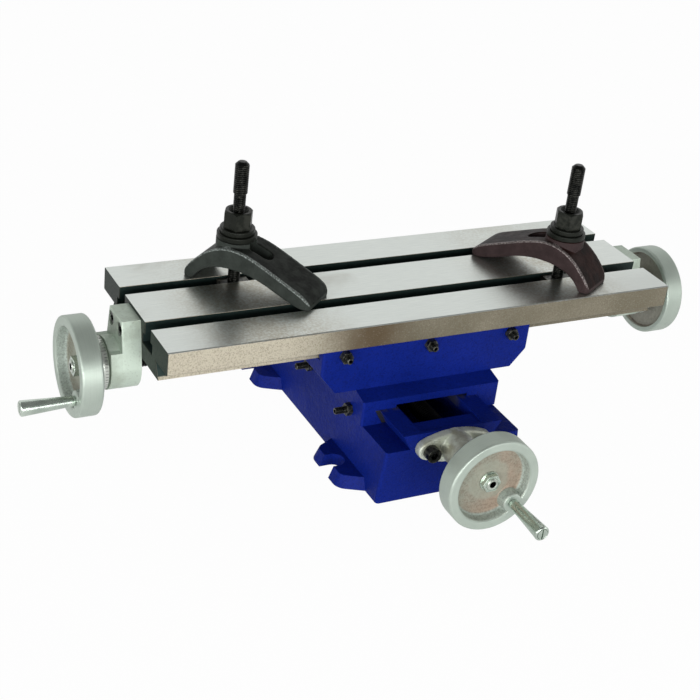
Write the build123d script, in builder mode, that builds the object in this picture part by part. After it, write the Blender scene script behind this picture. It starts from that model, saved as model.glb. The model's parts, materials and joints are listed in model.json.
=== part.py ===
from build123d import *
from math import acos, atan2, cos, hypot, radians, sin, tan
import os

# Cross slide table: a slotted table slides left and right on a saddle, and the saddle slides
# to and fro on a footed base. Each slide is a dovetail way with an adjustable gib strip and
# a lead screw with a handwheel. Two strap clamps stand in the table's slots.
# X runs along the table, Y from front to back, Z up from the underside of the base.

# Clearances
slide_gap = 0.1
thrust_gap = 0.3
running_clearance = 0.05
fit_clearance = 0.05
floor_gap = 0.4

# Ways
dovetail_slope = 1 / tan(radians(60))
gib_thickness = 4.0
cross_way_x = -3.0
cross_way_width = 94.0
cross_way_height = 13.8
table_way_width = 100.0
table_way_height = 14.0

# Base
base_length = 274.0
base_top_width = 128.0
base_foot_width = 135.0
shelf_height = 48.7
casting_wall = 11.0
end_wall = 19.0
pocket_width = 59.0
pocket_floor = 28.0
crossbar_recess = 1.5
crossbar_lip = 3.0
middle_rib = 16.0
side_core_height = 36.0
base_corner = 3.0

# Feet
foot_thickness = 11.0
foot_lean = 20.0
foot_reach = 89.0
front_foot_place = -81.0
rear_foot_place = 90.0
foot_root_length = 72.0
foot_tip_length = 50.0
foot_corner = 12.0
foot_slot_width = 17.5
foot_slot_end = 71.0

# Saddle
saddle_rest = -10.0
saddle_overhang = 34.0
saddle_cheek = 18.0
saddle_height = 57.3
saddle_top_depth = 26.9
saddle_neck_overhang = 19.5
saddle_corner = 2.0
block_length = 132.0
block_width = 168.0
block_top = 12.9
block_edge = 9.4
relief_width = 69.0
relief_depth = 2.9
channel_width = 36.0
channel_depth = 36.0
channel_corner = 4.0

# Table plate
table_length = 475.0
table_width = 153.0
table_thickness = 20.0
slot_spacing = 62.4
slot_throat = 14.0
slot_depth = 11.0
slot_undercut = 23.0
table_chamfer = 0.8

# Lead screws
screw_radius = 8.0
journal_radius = 7.0
seat_radius = 6.0
stub_radius = 5.0
stub_length = 6.8
centre_hole_radius = 2.75
centre_hole_depth = 5.0
cross_screw_height = 49.5
cross_screw_end_room = 6.0
collar_radius = 11.0
collar_width = 5.8
table_screw_drop = 45.6

# Lead screw nuts
cross_nut_length = 30.0
cross_nut_body = 26.0
cross_nut_flange = 55.0
cross_nut_flange_thickness = 6.0
cross_nut_depth = 11.5
cross_nut_screw_spacing = 42.0
table_nut_length = 36.0
table_nut_place = 34.0
table_nut_height = 21.4
table_nut_screw_spacing = 26.0

# Handwheels
wheel_radius = 41.25
wheel_width = 18.0
wheel_recess_radius = 33.0
wheel_web_near = 4.0
wheel_web_far = 8.0
wheel_back_radius = 36.5
wheel_hub_radius = 10.5
wheel_hub_length = 8.4
wheel_edge = 1.0
cross_wheel_stand = 51.0
table_wheel_stand = 36.5
wheel_washer_radius = 8.5
wheel_washer_thickness = 1.2
wheel_nut_across_flats = 14.5
wheel_nut_thickness = 4.4

# Crank handles
crank_radius = 28.8
crank_boss_radius = 9.5
crank_boss_taper = 7.0
cross_crank_angle = -44.0
left_crank_angle = -39.5
right_crank_angle = -40.0
handle_length = 43.8
handle_base_radius = 4.1
handle_end_radius = 6.5
pivot_radius = 3.0
pivot_engagement = 10.8
pivot_head_radius = 4.4
pivot_head_height = 3.0
screwdriver_slot = 1.3

# Dials
dial_radius = 22.0
dial_width = 10.8
dial_bevel = 1.6

# Front bracket
flange_length = 70.0
flange_height = 28.0
flange_tip_height = 16.2
flange_tip_place = 58.0
flange_thickness = 8.0
cross_boss_radius = 14.5
cross_boss_collar = 8.6
cap_screw_spacing = 50.0
cap_screw_radius = 4.0
cap_screw_head_radius = 6.5
cap_screw_head_height = 8.0
cap_screw_engagement = 15.0
cap_screw_socket = 6.0
socket_depth = 4.0

# End brackets
end_bracket_thickness = 16.0
end_bracket_drop = 3.0
end_bracket_top_width = 30.0
end_bracket_radius = 22.5
end_boss_radius = 22.0
end_screw_spacing = 20.0
end_screw_drop = 11.5
end_counterbore_radius = 6.0
end_counterbore_depth = 7.0
small_screw_radius = 3.0
small_head_radius = 5.0
small_head_height = 6.0
small_socket = 5.0
end_screw_engagement = 16.0

# Gib set screws and lock nuts
gib_screw_tip_radius = 1.2
gib_screw_tip_gap = 0.1
gib_nut_across_flats = 10.0
gib_nut_thickness = 5.0
table_gib_screw_drop = 10.0
table_gib_screw_pitch = 80.0
table_gib_screw_stand = 10.0
cross_gib_screw_drop = 8.0
cross_gib_screw_end_place = 63.0
cross_gib_screw_middle_place = 15.0
cross_gib_screw_stand = 15.0

# Table nut screws
nut_screw_radius = 2.5
nut_screw_head_radius = 4.25
nut_screw_head_height = 5.0
nut_screw_recess = 8.4
nut_screw_engagement = 12.0

# Clamps
strap_length = 117.0
strap_width = 41.0
strap_toe = 38.0
strap_corner = 5.0
strap_slot_width = 13.5
strap_slot_length = 27.0
strap_lift = 0.1
seat_height = 39.0
seat_radius_strap = 17.2
stud_radius = 5.1
stud_tip_radius = 6.0
stud_step = 77.0
stud_height = 105.0
stud_tip_round = 2.5
tee_nut_length = 26.0
tee_nut_gap = 0.3
tee_nut_neck = 9.0
lower_washer_radius = 17.0
lower_washer_thickness = 4.4
upper_washer_radius = 14.8
upper_washer_thickness = 4.4
washer_gap = 0.05
clamp_nut_across_flats = 22.0
clamp_nut_height = 15.0
clamp_nut_mouth_radius = 8.6
clamp_nut_mouth_depth = 4.5
left_clamp_x = -140.0
left_clamp_angle = -49.6
right_clamp_x = 147.5
right_clamp_angle = 121.0

# Levels and places that follow
cross_way_top = shelf_height + cross_way_height
saddle_foot = shelf_height + floor_gap
saddle_underside = cross_way_top + slide_gap
saddle_top = saddle_underside + saddle_height
table_underside = saddle_top + slide_gap
table_top = table_underside + table_thickness
table_way_bottom = table_underside - table_way_height
relief_ceiling = saddle_underside + relief_depth
channel_floor = saddle_top - channel_depth
table_screw_height = table_top - table_screw_drop
table_end = table_length / 2
saddle_length = block_length + 2 * saddle_overhang
saddle_neck_length = block_length + 2 * saddle_neck_overhang
saddle_width = table_way_width + 2 * saddle_cheek
base_front = base_length / 2
cross_wheel_place = base_front + cross_wheel_stand
table_wheel_place = table_end + table_wheel_stand
cross_gib_screw_places = (
    -cross_gib_screw_end_place,
    cross_gib_screw_middle_place,
    cross_gib_screw_end_place,
)

saddle_section = Plane(origin=(0, saddle_rest, 0), x_dir=(1, 0, 0), z_dir=(0, -1, 0))
saddle_profile = Plane(origin=(0, saddle_rest, 0), x_dir=(0, 1, 0), z_dir=(1, 0, 0))
cross_axis = Plane(origin=(cross_way_x, 0, cross_screw_height), x_dir=(0, -1, 0), z_dir=(-1, 0, 0))
left_axis = Plane(origin=(0, saddle_rest, table_screw_height), x_dir=(-1, 0, 0), z_dir=(0, 1, 0))
right_axis = Plane(origin=(0, saddle_rest, table_screw_height), x_dir=(1, 0, 0), z_dir=(0, -1, 0))


def save(piece, name):
    piece.part.label = name
    export_step(piece.part, f"parts/{name}.step")


# Half width of a dovetail at a drop below its narrow or wide top
def widening(half_width, drop):
    return half_width + drop * dovetail_slope


# Plane square to a screw axis, at a distance out along it
def across(axis_plane, distance):
    return Plane(
        origin=axis_plane.origin + axis_plane.x_dir * distance,
        x_dir=-axis_plane.z_dir,
        z_dir=axis_plane.x_dir,
    )


# Piece turned about a screw axis from an outline of (distance along, radius) points
def turned(axis_plane, outline):
    with BuildPart() as piece:
        with BuildSketch(axis_plane):
            with BuildLine():
                Polyline(*outline, close=True)
            make_face()
        revolve(axis=Axis(axis_plane.origin, axis_plane.x_dir))
    return piece


# Base casting: box with leaning sides, cross way on top, screw pocket between the rails,
# cored underside and four slotted feet with leaning sides
with BuildPart() as base_casting:
    with BuildSketch(Plane.XZ):
        with BuildLine():
            Polyline(
                (-base_foot_width / 2, 0),
                (base_foot_width / 2, 0),
                (base_foot_width / 2, foot_thickness),
                (base_top_width / 2, shelf_height),
                (-base_top_width / 2, shelf_height),
                (-base_foot_width / 2, foot_thickness),
                close=True,
            )
        make_face()
    extrude(amount=base_front, both=True)
    corner_edges = base_casting.edges().filter_by(Axis.X, reverse=True)
    fillet(corner_edges.filter_by(Axis.Y, reverse=True), base_corner)
    way_half = cross_way_width / 2
    root_half = way_half - cross_way_height * dovetail_slope
    with BuildSketch(Plane.XZ):
        with BuildLine():
            Polyline(
                (cross_way_x - root_half, shelf_height - base_corner),
                (cross_way_x - root_half, shelf_height),
                (cross_way_x - way_half, cross_way_top),
                (cross_way_x + way_half, cross_way_top),
                (cross_way_x + root_half, shelf_height),
                (cross_way_x + root_half, shelf_height - base_corner),
                close=True,
            )
        make_face()
    extrude(amount=base_front, both=True)
    with BuildSketch(Plane.XY.offset(cross_way_top)):
        with Locations((cross_way_x, 0)):
            Rectangle(pocket_width, base_length - 2 * end_wall)
    extrude(amount=pocket_floor - cross_way_top, mode=Mode.SUBTRACT)
    with BuildSketch(Plane.XY.offset(cross_way_top)):
        recess_length = end_wall - crossbar_lip
        with Locations((cross_way_x, crossbar_lip + recess_length / 2 - base_front)):
            Rectangle(pocket_width, recess_length)
    extrude(amount=-crossbar_recess, mode=Mode.SUBTRACT)
    # Feet
    with BuildSketch(Plane.XY) as feet:
        for foot_y in (front_foot_place, rear_foot_place):
            with BuildLine():
                Polyline(
                    (base_top_width / 2 - casting_wall, foot_y - foot_root_length / 2),
                    (base_foot_width / 2, foot_y - foot_root_length / 2),
                    (foot_reach, foot_y - foot_tip_length / 2),
                    (foot_reach, foot_y + foot_tip_length / 2),
                    (base_foot_width / 2, foot_y + foot_root_length / 2),
                    (base_top_width / 2 - casting_wall, foot_y + foot_root_length / 2),
                    close=True,
                )
            make_face()
        fillet(feet.vertices().group_by(Axis.X)[-1], foot_corner)
        mirror(about=Plane.YZ)
    extrude(amount=foot_thickness, taper=foot_lean)
    with BuildSketch(Plane.XY):
        slot_centre = foot_slot_end + foot_slot_width / 2
        slot_run = foot_reach - slot_centre + foot_slot_width
        for foot_y in (front_foot_place, rear_foot_place):
            with Locations((slot_centre, foot_y)):
                Circle(foot_slot_width / 2)
            with Locations((slot_centre + slot_run / 2, foot_y)):
                Rectangle(slot_run, foot_slot_width)
        mirror(about=Plane.YZ)
    extrude(amount=foot_thickness, mode=Mode.SUBTRACT)
    # Cored underside, with a rib across the middle
    core_length = (base_length - 2 * casting_wall - middle_rib) / 2
    core_width = base_foot_width - 2 * casting_wall
    with BuildSketch(Plane.XY):
        with GridLocations(0, core_length + middle_rib, 1, 2):
            RectangleRounded(core_width, core_length, casting_wall)
    extrude(amount=pocket_floor - casting_wall, mode=Mode.SUBTRACT)
    side_core_edges = (
        (-core_width / 2 + casting_wall / 2, cross_way_x - pocket_width / 2 - casting_wall),
        (cross_way_x + pocket_width / 2 + casting_wall, core_width / 2 - casting_wall / 2),
    )
    with BuildSketch(Plane.XY):
        for near_x, far_x in side_core_edges:
            for side_y in (-1, 1):
                with Locations(((near_x + far_x) / 2, side_y * (core_length + middle_rib) / 2)):
                    Rectangle(far_x - near_x, core_length - casting_wall)
    extrude(amount=side_core_height, mode=Mode.SUBTRACT)
    # Screw bore with the thrust collar's seat, and tapped holes for the bracket
    with BuildSketch(across(cross_axis, base_front)):
        Circle(screw_radius + thrust_gap)
    extrude(amount=-end_wall, mode=Mode.SUBTRACT)
    with BuildSketch(across(cross_axis, base_front)):
        Circle(collar_radius + thrust_gap)
    extrude(amount=-(collar_width + 2 * thrust_gap), mode=Mode.SUBTRACT)
    with BuildSketch(across(cross_axis, base_front)):
        with GridLocations(cap_screw_spacing, 0, 2, 1):
            Circle(cap_screw_radius + fit_clearance)
    extrude(amount=-(cap_screw_engagement + 1), mode=Mode.SUBTRACT)
save(base_casting, "base_casting")

# Front bracket: oval flange with a round boss that carries the cross screw
cross_boss_end = cross_wheel_place - dial_width - 2 * thrust_gap
with BuildPart() as cross_screw_bracket:
    with BuildSketch(across(cross_axis, base_front)):
        with BuildLine():
            tip_x = flange_tip_place / 2
            tip_y = flange_tip_height / 2
            ThreePointArc((-tip_x, tip_y), (0, flange_height / 2), (tip_x, tip_y))
            ThreePointArc((tip_x, tip_y), (flange_length / 2, 0), (tip_x, -tip_y))
            ThreePointArc((tip_x, -tip_y), (0, -flange_height / 2), (-tip_x, -tip_y))
            ThreePointArc((-tip_x, -tip_y), (-flange_length / 2, 0), (-tip_x, tip_y))
        make_face()
    extrude(amount=flange_thickness)
    flange_rim = cross_screw_bracket.faces().sort_by(Axis.Y)[0].edges()
    fillet(flange_rim, 1.5)
    with BuildSketch(cross_axis):
        with BuildLine():
            Polyline(
                (base_front, 0),
                (base_front, cross_boss_radius),
                (cross_boss_end - cross_boss_collar, cross_boss_radius),
                (cross_boss_end - 2 * cross_boss_collar / 3, dial_radius - 1),
                (cross_boss_end, dial_radius - 1),
                (cross_boss_end, 0),
                close=True,
            )
        make_face()
    revolve(axis=Axis(cross_axis.origin, cross_axis.x_dir))
    with BuildSketch(across(cross_axis, base_front)):
        Circle(journal_radius + running_clearance)
    extrude(amount=cross_boss_end - base_front, mode=Mode.SUBTRACT)
    with BuildSketch(across(cross_axis, base_front)):
        with GridLocations(cap_screw_spacing, 0, 2, 1):
            Circle(cap_screw_radius + fit_clearance)
    extrude(amount=flange_thickness, mode=Mode.SUBTRACT)
save(cross_screw_bracket, "cross_screw_bracket")


# Socket cap screws on one plane: the shank goes below the plane, the head stands on it
def cap_screws(seat_plane, places, shank_radius, shank_length, head_radius, head_height, socket):
    with BuildPart() as screws:
        with BuildSketch(seat_plane):
            with Locations(*places):
                Circle(shank_radius)
        extrude(amount=-shank_length)
        with BuildSketch(seat_plane):
            with Locations(*places):
                Circle(head_radius)
        extrude(amount=head_height)
        with BuildSketch(seat_plane.offset(head_height)):
            with Locations(*places):
                RegularPolygon(socket / 2, 6, major_radius=False)
        extrude(amount=-min(socket_depth, head_height - 1), mode=Mode.SUBTRACT)
    return screws


bracket_screw_plane = across(cross_axis, base_front + flange_thickness)
bracket_cap_screws = cap_screws(
    bracket_screw_plane,
    [(-cap_screw_spacing / 2, 0), (cap_screw_spacing / 2, 0)],
    cap_screw_radius,
    flange_thickness + cap_screw_engagement,
    cap_screw_head_radius,
    cap_screw_head_height,
    cap_screw_socket,
)
save(bracket_cap_screws, "bracket_cap_screws")

# Cross screw: long screw, thrust collar, journal, wheel seat and hollow stub
collar_far = base_front - thrust_gap / 2
collar_near = collar_far - collar_width
cross_screw_tail = base_front - end_wall - cross_screw_end_room
seat_end = cross_wheel_place + wheel_hub_length
stub_end = seat_end + stub_length
cross_screw = turned(
    cross_axis,
    [
        (-cross_screw_tail, 0),
        (-cross_screw_tail, journal_radius),
        (1 - cross_screw_tail, screw_radius),
        (collar_near, screw_radius),
        (collar_near, collar_radius),
        (collar_far, collar_radius),
        (collar_far, journal_radius),
        (cross_wheel_place, journal_radius),
        (cross_wheel_place, seat_radius),
        (seat_end, seat_radius),
        (seat_end, stub_radius),
        (stub_end, stub_radius),
        (stub_end, centre_hole_radius),
        (stub_end - centre_hole_depth, centre_hole_radius),
        (stub_end - centre_hole_depth, 0),
    ],
)
save(cross_screw, "cross_screw")

# Table screw: the same at both ends, with shoulders that run against the end brackets
shoulder = table_end - thrust_gap
table_seat_end = table_wheel_place + wheel_hub_length
table_stub_end = table_seat_end + stub_length
half_outline = [
    (shoulder, screw_radius),
    (shoulder, journal_radius),
    (table_wheel_place, journal_radius),
    (table_wheel_place, seat_radius),
    (table_seat_end, seat_radius),
    (table_seat_end, stub_radius),
    (table_stub_end, stub_radius),
    (table_stub_end, centre_hole_radius),
    (table_stub_end - centre_hole_depth, centre_hole_radius),
    (table_stub_end - centre_hole_depth, 0),
]
mirrored_outline = [(-along, radius) for along, radius in reversed(half_outline)]
table_screw = turned(right_axis, mirrored_outline + half_outline)
save(table_screw, "table_screw")


# Handwheel: dished wheel with a hub and a boss for the crank handle's pivot screw
def handwheel(axis_plane, place, crank_angle):
    rim_in = wheel_recess_radius
    bore = seat_radius + fit_clearance
    with BuildPart() as wheel:
        with BuildSketch(axis_plane):
            with BuildLine():
                Polyline(
                    (place, bore),
                    (place, wheel_hub_radius),
                    (place + wheel_web_near, wheel_hub_radius + 1),
                    (place + wheel_web_near, wheel_back_radius - 1),
                    (place, wheel_back_radius),
                    (place, wheel_radius - wheel_edge),
                    (place + wheel_edge, wheel_radius),
                    (place + wheel_width - wheel_edge, wheel_radius),
                    (place + wheel_width, wheel_radius - wheel_edge),
                    (place + wheel_width, rim_in + wheel_edge / 2),
                    (place + wheel_width - wheel_edge / 2, rim_in),
                    (place + wheel_web_far + 2, rim_in - 1),
                    (place + wheel_web_far, rim_in - 3),
                    (place + wheel_web_far, wheel_hub_radius),
                    (place + wheel_hub_length, wheel_hub_radius - 0.4),
                    (place + wheel_hub_length, bore),
                    close=True,
                )
            make_face()
        revolve(axis=Axis(axis_plane.origin, axis_plane.x_dir))
        web_middle = (wheel_web_near + wheel_web_far) / 2
        with BuildSketch(across(axis_plane, place + web_middle)):
            with PolarLocations(crank_radius, 1, start_angle=crank_angle):
                Circle(crank_boss_radius)
        extrude(amount=wheel_width - web_middle, taper=crank_boss_taper)
        with BuildSketch(across(axis_plane, place + wheel_width)):
            with PolarLocations(crank_radius, 1, start_angle=crank_angle):
                Circle(pivot_radius + fit_clearance)
        extrude(amount=-(pivot_engagement + 0.2), mode=Mode.SUBTRACT)
    return wheel


# Washer under the wheel nut
def wheel_washer(axis_plane, place):
    near = place + wheel_hub_length
    far = near + wheel_washer_thickness
    bore = stub_radius + fit_clearance
    outline = [(near, bore), (near, wheel_washer_radius), (far, wheel_washer_radius), (far, bore)]
    return turned(axis_plane, outline)


# Thin nut on the stub
def wheel_nut(axis_plane, place):
    near = place + wheel_hub_length + wheel_washer_thickness
    with BuildPart() as nut:
        with BuildSketch(across(axis_plane, near)):
            RegularPolygon(wheel_nut_across_flats / 2, 6, major_radius=False)
            Circle(stub_radius + fit_clearance, mode=Mode.SUBTRACT)
        extrude(amount=wheel_nut_thickness)
    return nut


# Graduated dial between bracket and wheel, bevelled on the bracket side
def dial(axis_plane, place):
    far = place - thrust_gap
    near = far - dial_width
    bore = journal_radius + fit_clearance
    outline = [
        (near, bore),
        (near, dial_radius - dial_bevel),
        (near + dial_bevel / 2, dial_radius),
        (far - dial_bevel / 2, dial_radius),
        (far, dial_radius - dial_bevel),
        (far, bore),
    ]
    return turned(axis_plane, outline)


# Axis of a crank handle, parallel to its wheel's axis
def crank_axis(axis_plane, place, crank_angle):
    face = across(axis_plane, place + wheel_width)
    swing = radians(crank_angle)
    offset = face.x_dir * cos(swing) * crank_radius + face.y_dir * sin(swing) * crank_radius
    return Plane(origin=face.origin + offset, x_dir=axis_plane.x_dir, z_dir=axis_plane.z_dir)


# Slotted pivot screw of a crank handle
def pivot_screw(axis):
    head_far = thrust_gap + handle_length
    head_near = head_far - pivot_head_height
    with BuildPart() as screw:
        with BuildSketch(axis):
            with BuildLine():
                Polyline(
                    (-pivot_engagement, 0),
                    (-pivot_engagement, pivot_radius),
                    (head_near, pivot_radius),
                    (head_near, pivot_head_radius),
                    (head_far, pivot_head_radius),
                    (head_far, 0),
                    close=True,
                )
            make_face()
        revolve(axis=Axis(axis.origin, axis.x_dir))
        with BuildSketch(across(axis, head_far)):
            Rectangle(screwdriver_slot, 3 * pivot_head_radius)
        extrude(amount=-pivot_head_height / 2, mode=Mode.SUBTRACT)
    return screw


# Tapered crank handle that turns freely on its pivot screw
def crank_handle(axis):
    near = thrust_gap
    far = near + handle_length
    head_seat = far - pivot_head_height - running_clearance
    bore = pivot_radius + running_clearance
    recess = pivot_head_radius + 4 * running_clearance
    outline = [
        (near, bore),
        (near, handle_base_radius),
        (far - wheel_edge, handle_end_radius),
        (far, handle_end_radius - wheel_edge),
        (far, recess),
        (head_seat, recess),
        (head_seat, bore),
    ]
    return turned(axis, outline)


wheels = (
    ("cross", cross_axis, cross_wheel_place, cross_crank_angle, True),
    ("left", left_axis, table_wheel_place, left_crank_angle, True),
    ("right", right_axis, table_wheel_place, right_crank_angle, False),
)
for side, axis_plane, place, angle, cranked in wheels:
    save(handwheel(axis_plane, place, angle), f"{side}_handwheel")
    save(wheel_washer(axis_plane, place), f"{side}_wheel_washer")
    save(wheel_nut(axis_plane, place), f"{side}_wheel_nut")
    save(dial(axis_plane, place), f"{side}_dial")
    if cranked:
        crank = crank_axis(axis_plane, place, angle)
        save(pivot_screw(crank), f"{side}_handle_screw")
        save(crank_handle(crank), f"{side}_crank_handle")

# Saddle: lower block over the base, wider upper body under the table, with the two
# female dovetails, the channel for the table screw and the tapped holes
female_front = table_way_width / 2 + 2 * slide_gap + gib_thickness
female_rear = table_way_width / 2 + slide_gap
female_floor = table_way_bottom - slide_gap
female_left = cross_way_width / 2 + 2 * slide_gap + gib_thickness
female_right = cross_way_width / 2 + slide_gap
with BuildPart() as saddle_casting:
    block_shoulder = saddle_underside + block_top
    with BuildSketch(saddle_profile):
        with BuildLine():
            Polyline(
                (-block_width / 2, saddle_foot),
                (block_width / 2, saddle_foot),
                (block_width / 2, saddle_underside + block_edge),
                (saddle_width / 2, block_shoulder),
                (-saddle_width / 2, block_shoulder),
                (-block_width / 2, saddle_underside + block_edge),
                close=True,
            )
        make_face()
    extrude(amount=block_length / 2, both=True)
    fillet(saddle_casting.edges().filter_by(Axis.Z), saddle_corner)
    with BuildSketch(saddle_section):
        with BuildLine():
            Polyline(
                (-block_length / 2, saddle_underside),
                (block_length / 2, saddle_underside),
                (block_length / 2, block_shoulder),
                (saddle_neck_length / 2, block_shoulder),
                (saddle_length / 2, saddle_top - saddle_top_depth),
                (saddle_length / 2, saddle_top),
                (-saddle_length / 2, saddle_top),
                (-saddle_length / 2, saddle_top - saddle_top_depth),
                (-saddle_neck_length / 2, block_shoulder),
                (-block_length / 2, block_shoulder),
                close=True,
            )
        make_face()
    extrude(amount=saddle_width / 2, both=True)
    cheek_edges = saddle_casting.edges().filter_by(Axis.Z).group_by(Axis.Z)[-1]
    fillet(cheek_edges, saddle_corner)
    # Female dovetail under the saddle, wider on the left for its gib
    with BuildSketch(saddle_section):
        foot_drop = cross_way_top - saddle_foot + 1
        with BuildLine():
            Polyline(
                (cross_way_x - female_left, cross_way_top),
                (cross_way_x - female_left, saddle_underside),
                (cross_way_x + female_right, saddle_underside),
                (cross_way_x + female_right, cross_way_top),
                (cross_way_x + widening(female_right, -foot_drop), cross_way_top - foot_drop),
                (cross_way_x - widening(female_left, -foot_drop), cross_way_top - foot_drop),
                close=True,
            )
        make_face()
    extrude(amount=block_width, both=True, mode=Mode.SUBTRACT)
    with BuildSketch(saddle_section):
        with Locations((0, saddle_underside)):
            Rectangle(relief_width, 2 * relief_depth)
    extrude(amount=block_width, both=True, mode=Mode.SUBTRACT)
    # Female dovetail on top, wider in front for its gib
    with BuildSketch(saddle_profile):
        with BuildLine():
            Polyline(
                (-widening(female_front, -1), table_underside + 1),
                (widening(female_rear, -1), table_underside + 1),
                (widening(female_rear, table_underside - female_floor), female_floor),
                (-widening(female_front, table_underside - female_floor), female_floor),
                close=True,
            )
        make_face()
    extrude(amount=saddle_length, both=True, mode=Mode.SUBTRACT)
    with BuildSketch(saddle_profile) as channel:
        with Locations((0, (channel_floor + saddle_top) / 2)):
            Rectangle(channel_width, channel_depth)
        fillet(channel.vertices().group_by(Axis.Z)[0], channel_corner)
    extrude(amount=saddle_length, both=True, mode=Mode.SUBTRACT)
    # Tapped holes for the table gib's set screws in the front cheek
    with BuildSketch(saddle_section.offset(saddle_width / 2)):
        with Locations((0, table_underside - table_gib_screw_drop)):
            with GridLocations(table_gib_screw_pitch, 0, 3, 1):
                Circle(small_screw_radius + fit_clearance)
    extrude(amount=-(saddle_width / 2 - table_way_width / 2), mode=Mode.SUBTRACT)
    # Tapped holes for the cross gib's set screws in the left leg
    with BuildSketch(saddle_profile.offset(-block_length / 2)):
        with Locations((0, cross_way_top - cross_gib_screw_drop)):
            with Locations(*[(place, 0) for place in cross_gib_screw_places]):
                Circle(small_screw_radius + fit_clearance)
    extrude(amount=block_length / 2 - cross_way_width / 2 - cross_way_x, mode=Mode.SUBTRACT)
    # Tapped holes over the cross nut, and stepped holes under the table nut
    with BuildSketch(Plane.XY.offset(relief_ceiling)):
        with Locations((cross_way_x, saddle_rest)):
            with GridLocations(cross_nut_screw_spacing, 0, 2, 1):
                Circle(small_screw_radius + fit_clearance)
    extrude(amount=nut_screw_engagement + 1, mode=Mode.SUBTRACT)
    with BuildSketch(Plane.XY.offset(saddle_underside)):
        with Locations((table_nut_place, saddle_rest)):
            with GridLocations(0, table_nut_screw_spacing, 1, 2):
                Circle(nut_screw_radius + fit_clearance)
    extrude(amount=channel_floor - saddle_underside + channel_corner, mode=Mode.SUBTRACT)
    with BuildSketch(Plane.XY.offset(saddle_underside)):
        with Locations((table_nut_place, saddle_rest)):
            with GridLocations(0, table_nut_screw_spacing, 1, 2):
                Circle(nut_screw_head_radius + 0.5)
    extrude(amount=nut_screw_recess, mode=Mode.SUBTRACT)
save(saddle_casting, "saddle_casting")

# Gib strips: slanted bars that take up the play in each way
gib_top_drop = slide_gap + 0.2
with BuildPart() as table_gib:
    with BuildSketch(saddle_profile):
        inner = table_way_width / 2 + slide_gap
        bottom_drop = table_way_height
        with BuildLine():
            Polyline(
                (-widening(inner, gib_top_drop), table_underside - gib_top_drop),
                (-widening(inner, bottom_drop), table_underside - bottom_drop),
                (-widening(inner, bottom_drop) - gib_thickness, table_underside - bottom_drop),
                (-widening(inner, gib_top_drop) - gib_thickness, table_underside - gib_top_drop),
                close=True,
            )
        make_face()
    extrude(amount=saddle_length / 2 - 1, both=True)
save(table_gib, "table_gib")

with BuildPart() as cross_gib:
    with BuildSketch(saddle_section):
        inner = cross_way_width / 2 + slide_gap
        low_drop = cross_way_top - saddle_foot
        high_left = cross_way_x - widening(inner, -gib_top_drop)
        low_left = cross_way_x - widening(inner, -low_drop)
        with BuildLine():
            Polyline(
                (high_left, cross_way_top - gib_top_drop),
                (low_left, cross_way_top - low_drop),
                (low_left - gib_thickness, cross_way_top - low_drop),
                (high_left - gib_thickness, cross_way_top - gib_top_drop),
                close=True,
            )
        make_face()
    extrude(amount=block_width / 2 - 1, both=True)
save(cross_gib, "cross_gib")


# Set screws with coned tips: face is the casting's face, reach how deep the tips lie behind it
def set_screws(face, places, reach, stand):
    cone = small_screw_radius - gib_screw_tip_radius
    with BuildPart() as screws:
        with BuildSketch(face.offset(cone - reach)):
            with Locations(*places):
                Circle(small_screw_radius)
        extrude(amount=reach - cone + stand)
        with BuildSketch(face.offset(cone - reach)):
            with Locations(*places):
                Circle(small_screw_radius)
        extrude(amount=-cone, taper=45)
        with BuildSketch(face.offset(stand)):
            with Locations(*places):
                RegularPolygon(small_screw_radius / 2, 6, major_radius=False)
        extrude(amount=-small_screw_radius, mode=Mode.SUBTRACT)
    return screws


# Lock nuts on the same face
def lock_nuts(face, places):
    with BuildPart() as nuts:
        with BuildSketch(face):
            with Locations(*places):
                RegularPolygon(gib_nut_across_flats / 2, 6, major_radius=False)
                Circle(small_screw_radius + fit_clearance, mode=Mode.SUBTRACT)
        extrude(amount=gib_nut_thickness)
    return nuts


tip_rise = gib_screw_tip_radius * dovetail_slope + gib_screw_tip_gap
gib_outer = table_way_width / 2 + slide_gap + gib_thickness
table_tip_y = widening(gib_outer, table_gib_screw_drop) + tip_rise
front_face = saddle_section.offset(saddle_width / 2)
table_gib_places = [
    (step * table_gib_screw_pitch, table_underside - table_gib_screw_drop) for step in (-1, 0, 1)
]
save(
    set_screws(front_face, table_gib_places, saddle_width / 2 - table_tip_y, table_gib_screw_stand),
    "table_gib_screws",
)
save(lock_nuts(front_face, table_gib_places), "table_gib_nuts")

cross_gib_outer = cross_way_width / 2 + slide_gap + gib_thickness - cross_way_x
cross_tip_x = widening(cross_gib_outer, -cross_gib_screw_drop) + tip_rise
left_face = Plane(
    origin=(-block_length / 2, saddle_rest, cross_way_top - cross_gib_screw_drop),
    x_dir=(0, -1, 0),
    z_dir=(-1, 0, 0),
)
cross_gib_places = [(-place, 0) for place in cross_gib_screw_places]
save(
    set_screws(left_face, cross_gib_places, block_length / 2 - cross_tip_x, cross_gib_screw_stand),
    "cross_gib_screws",
)
save(lock_nuts(left_face, cross_gib_places), "cross_gib_nuts")

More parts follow.
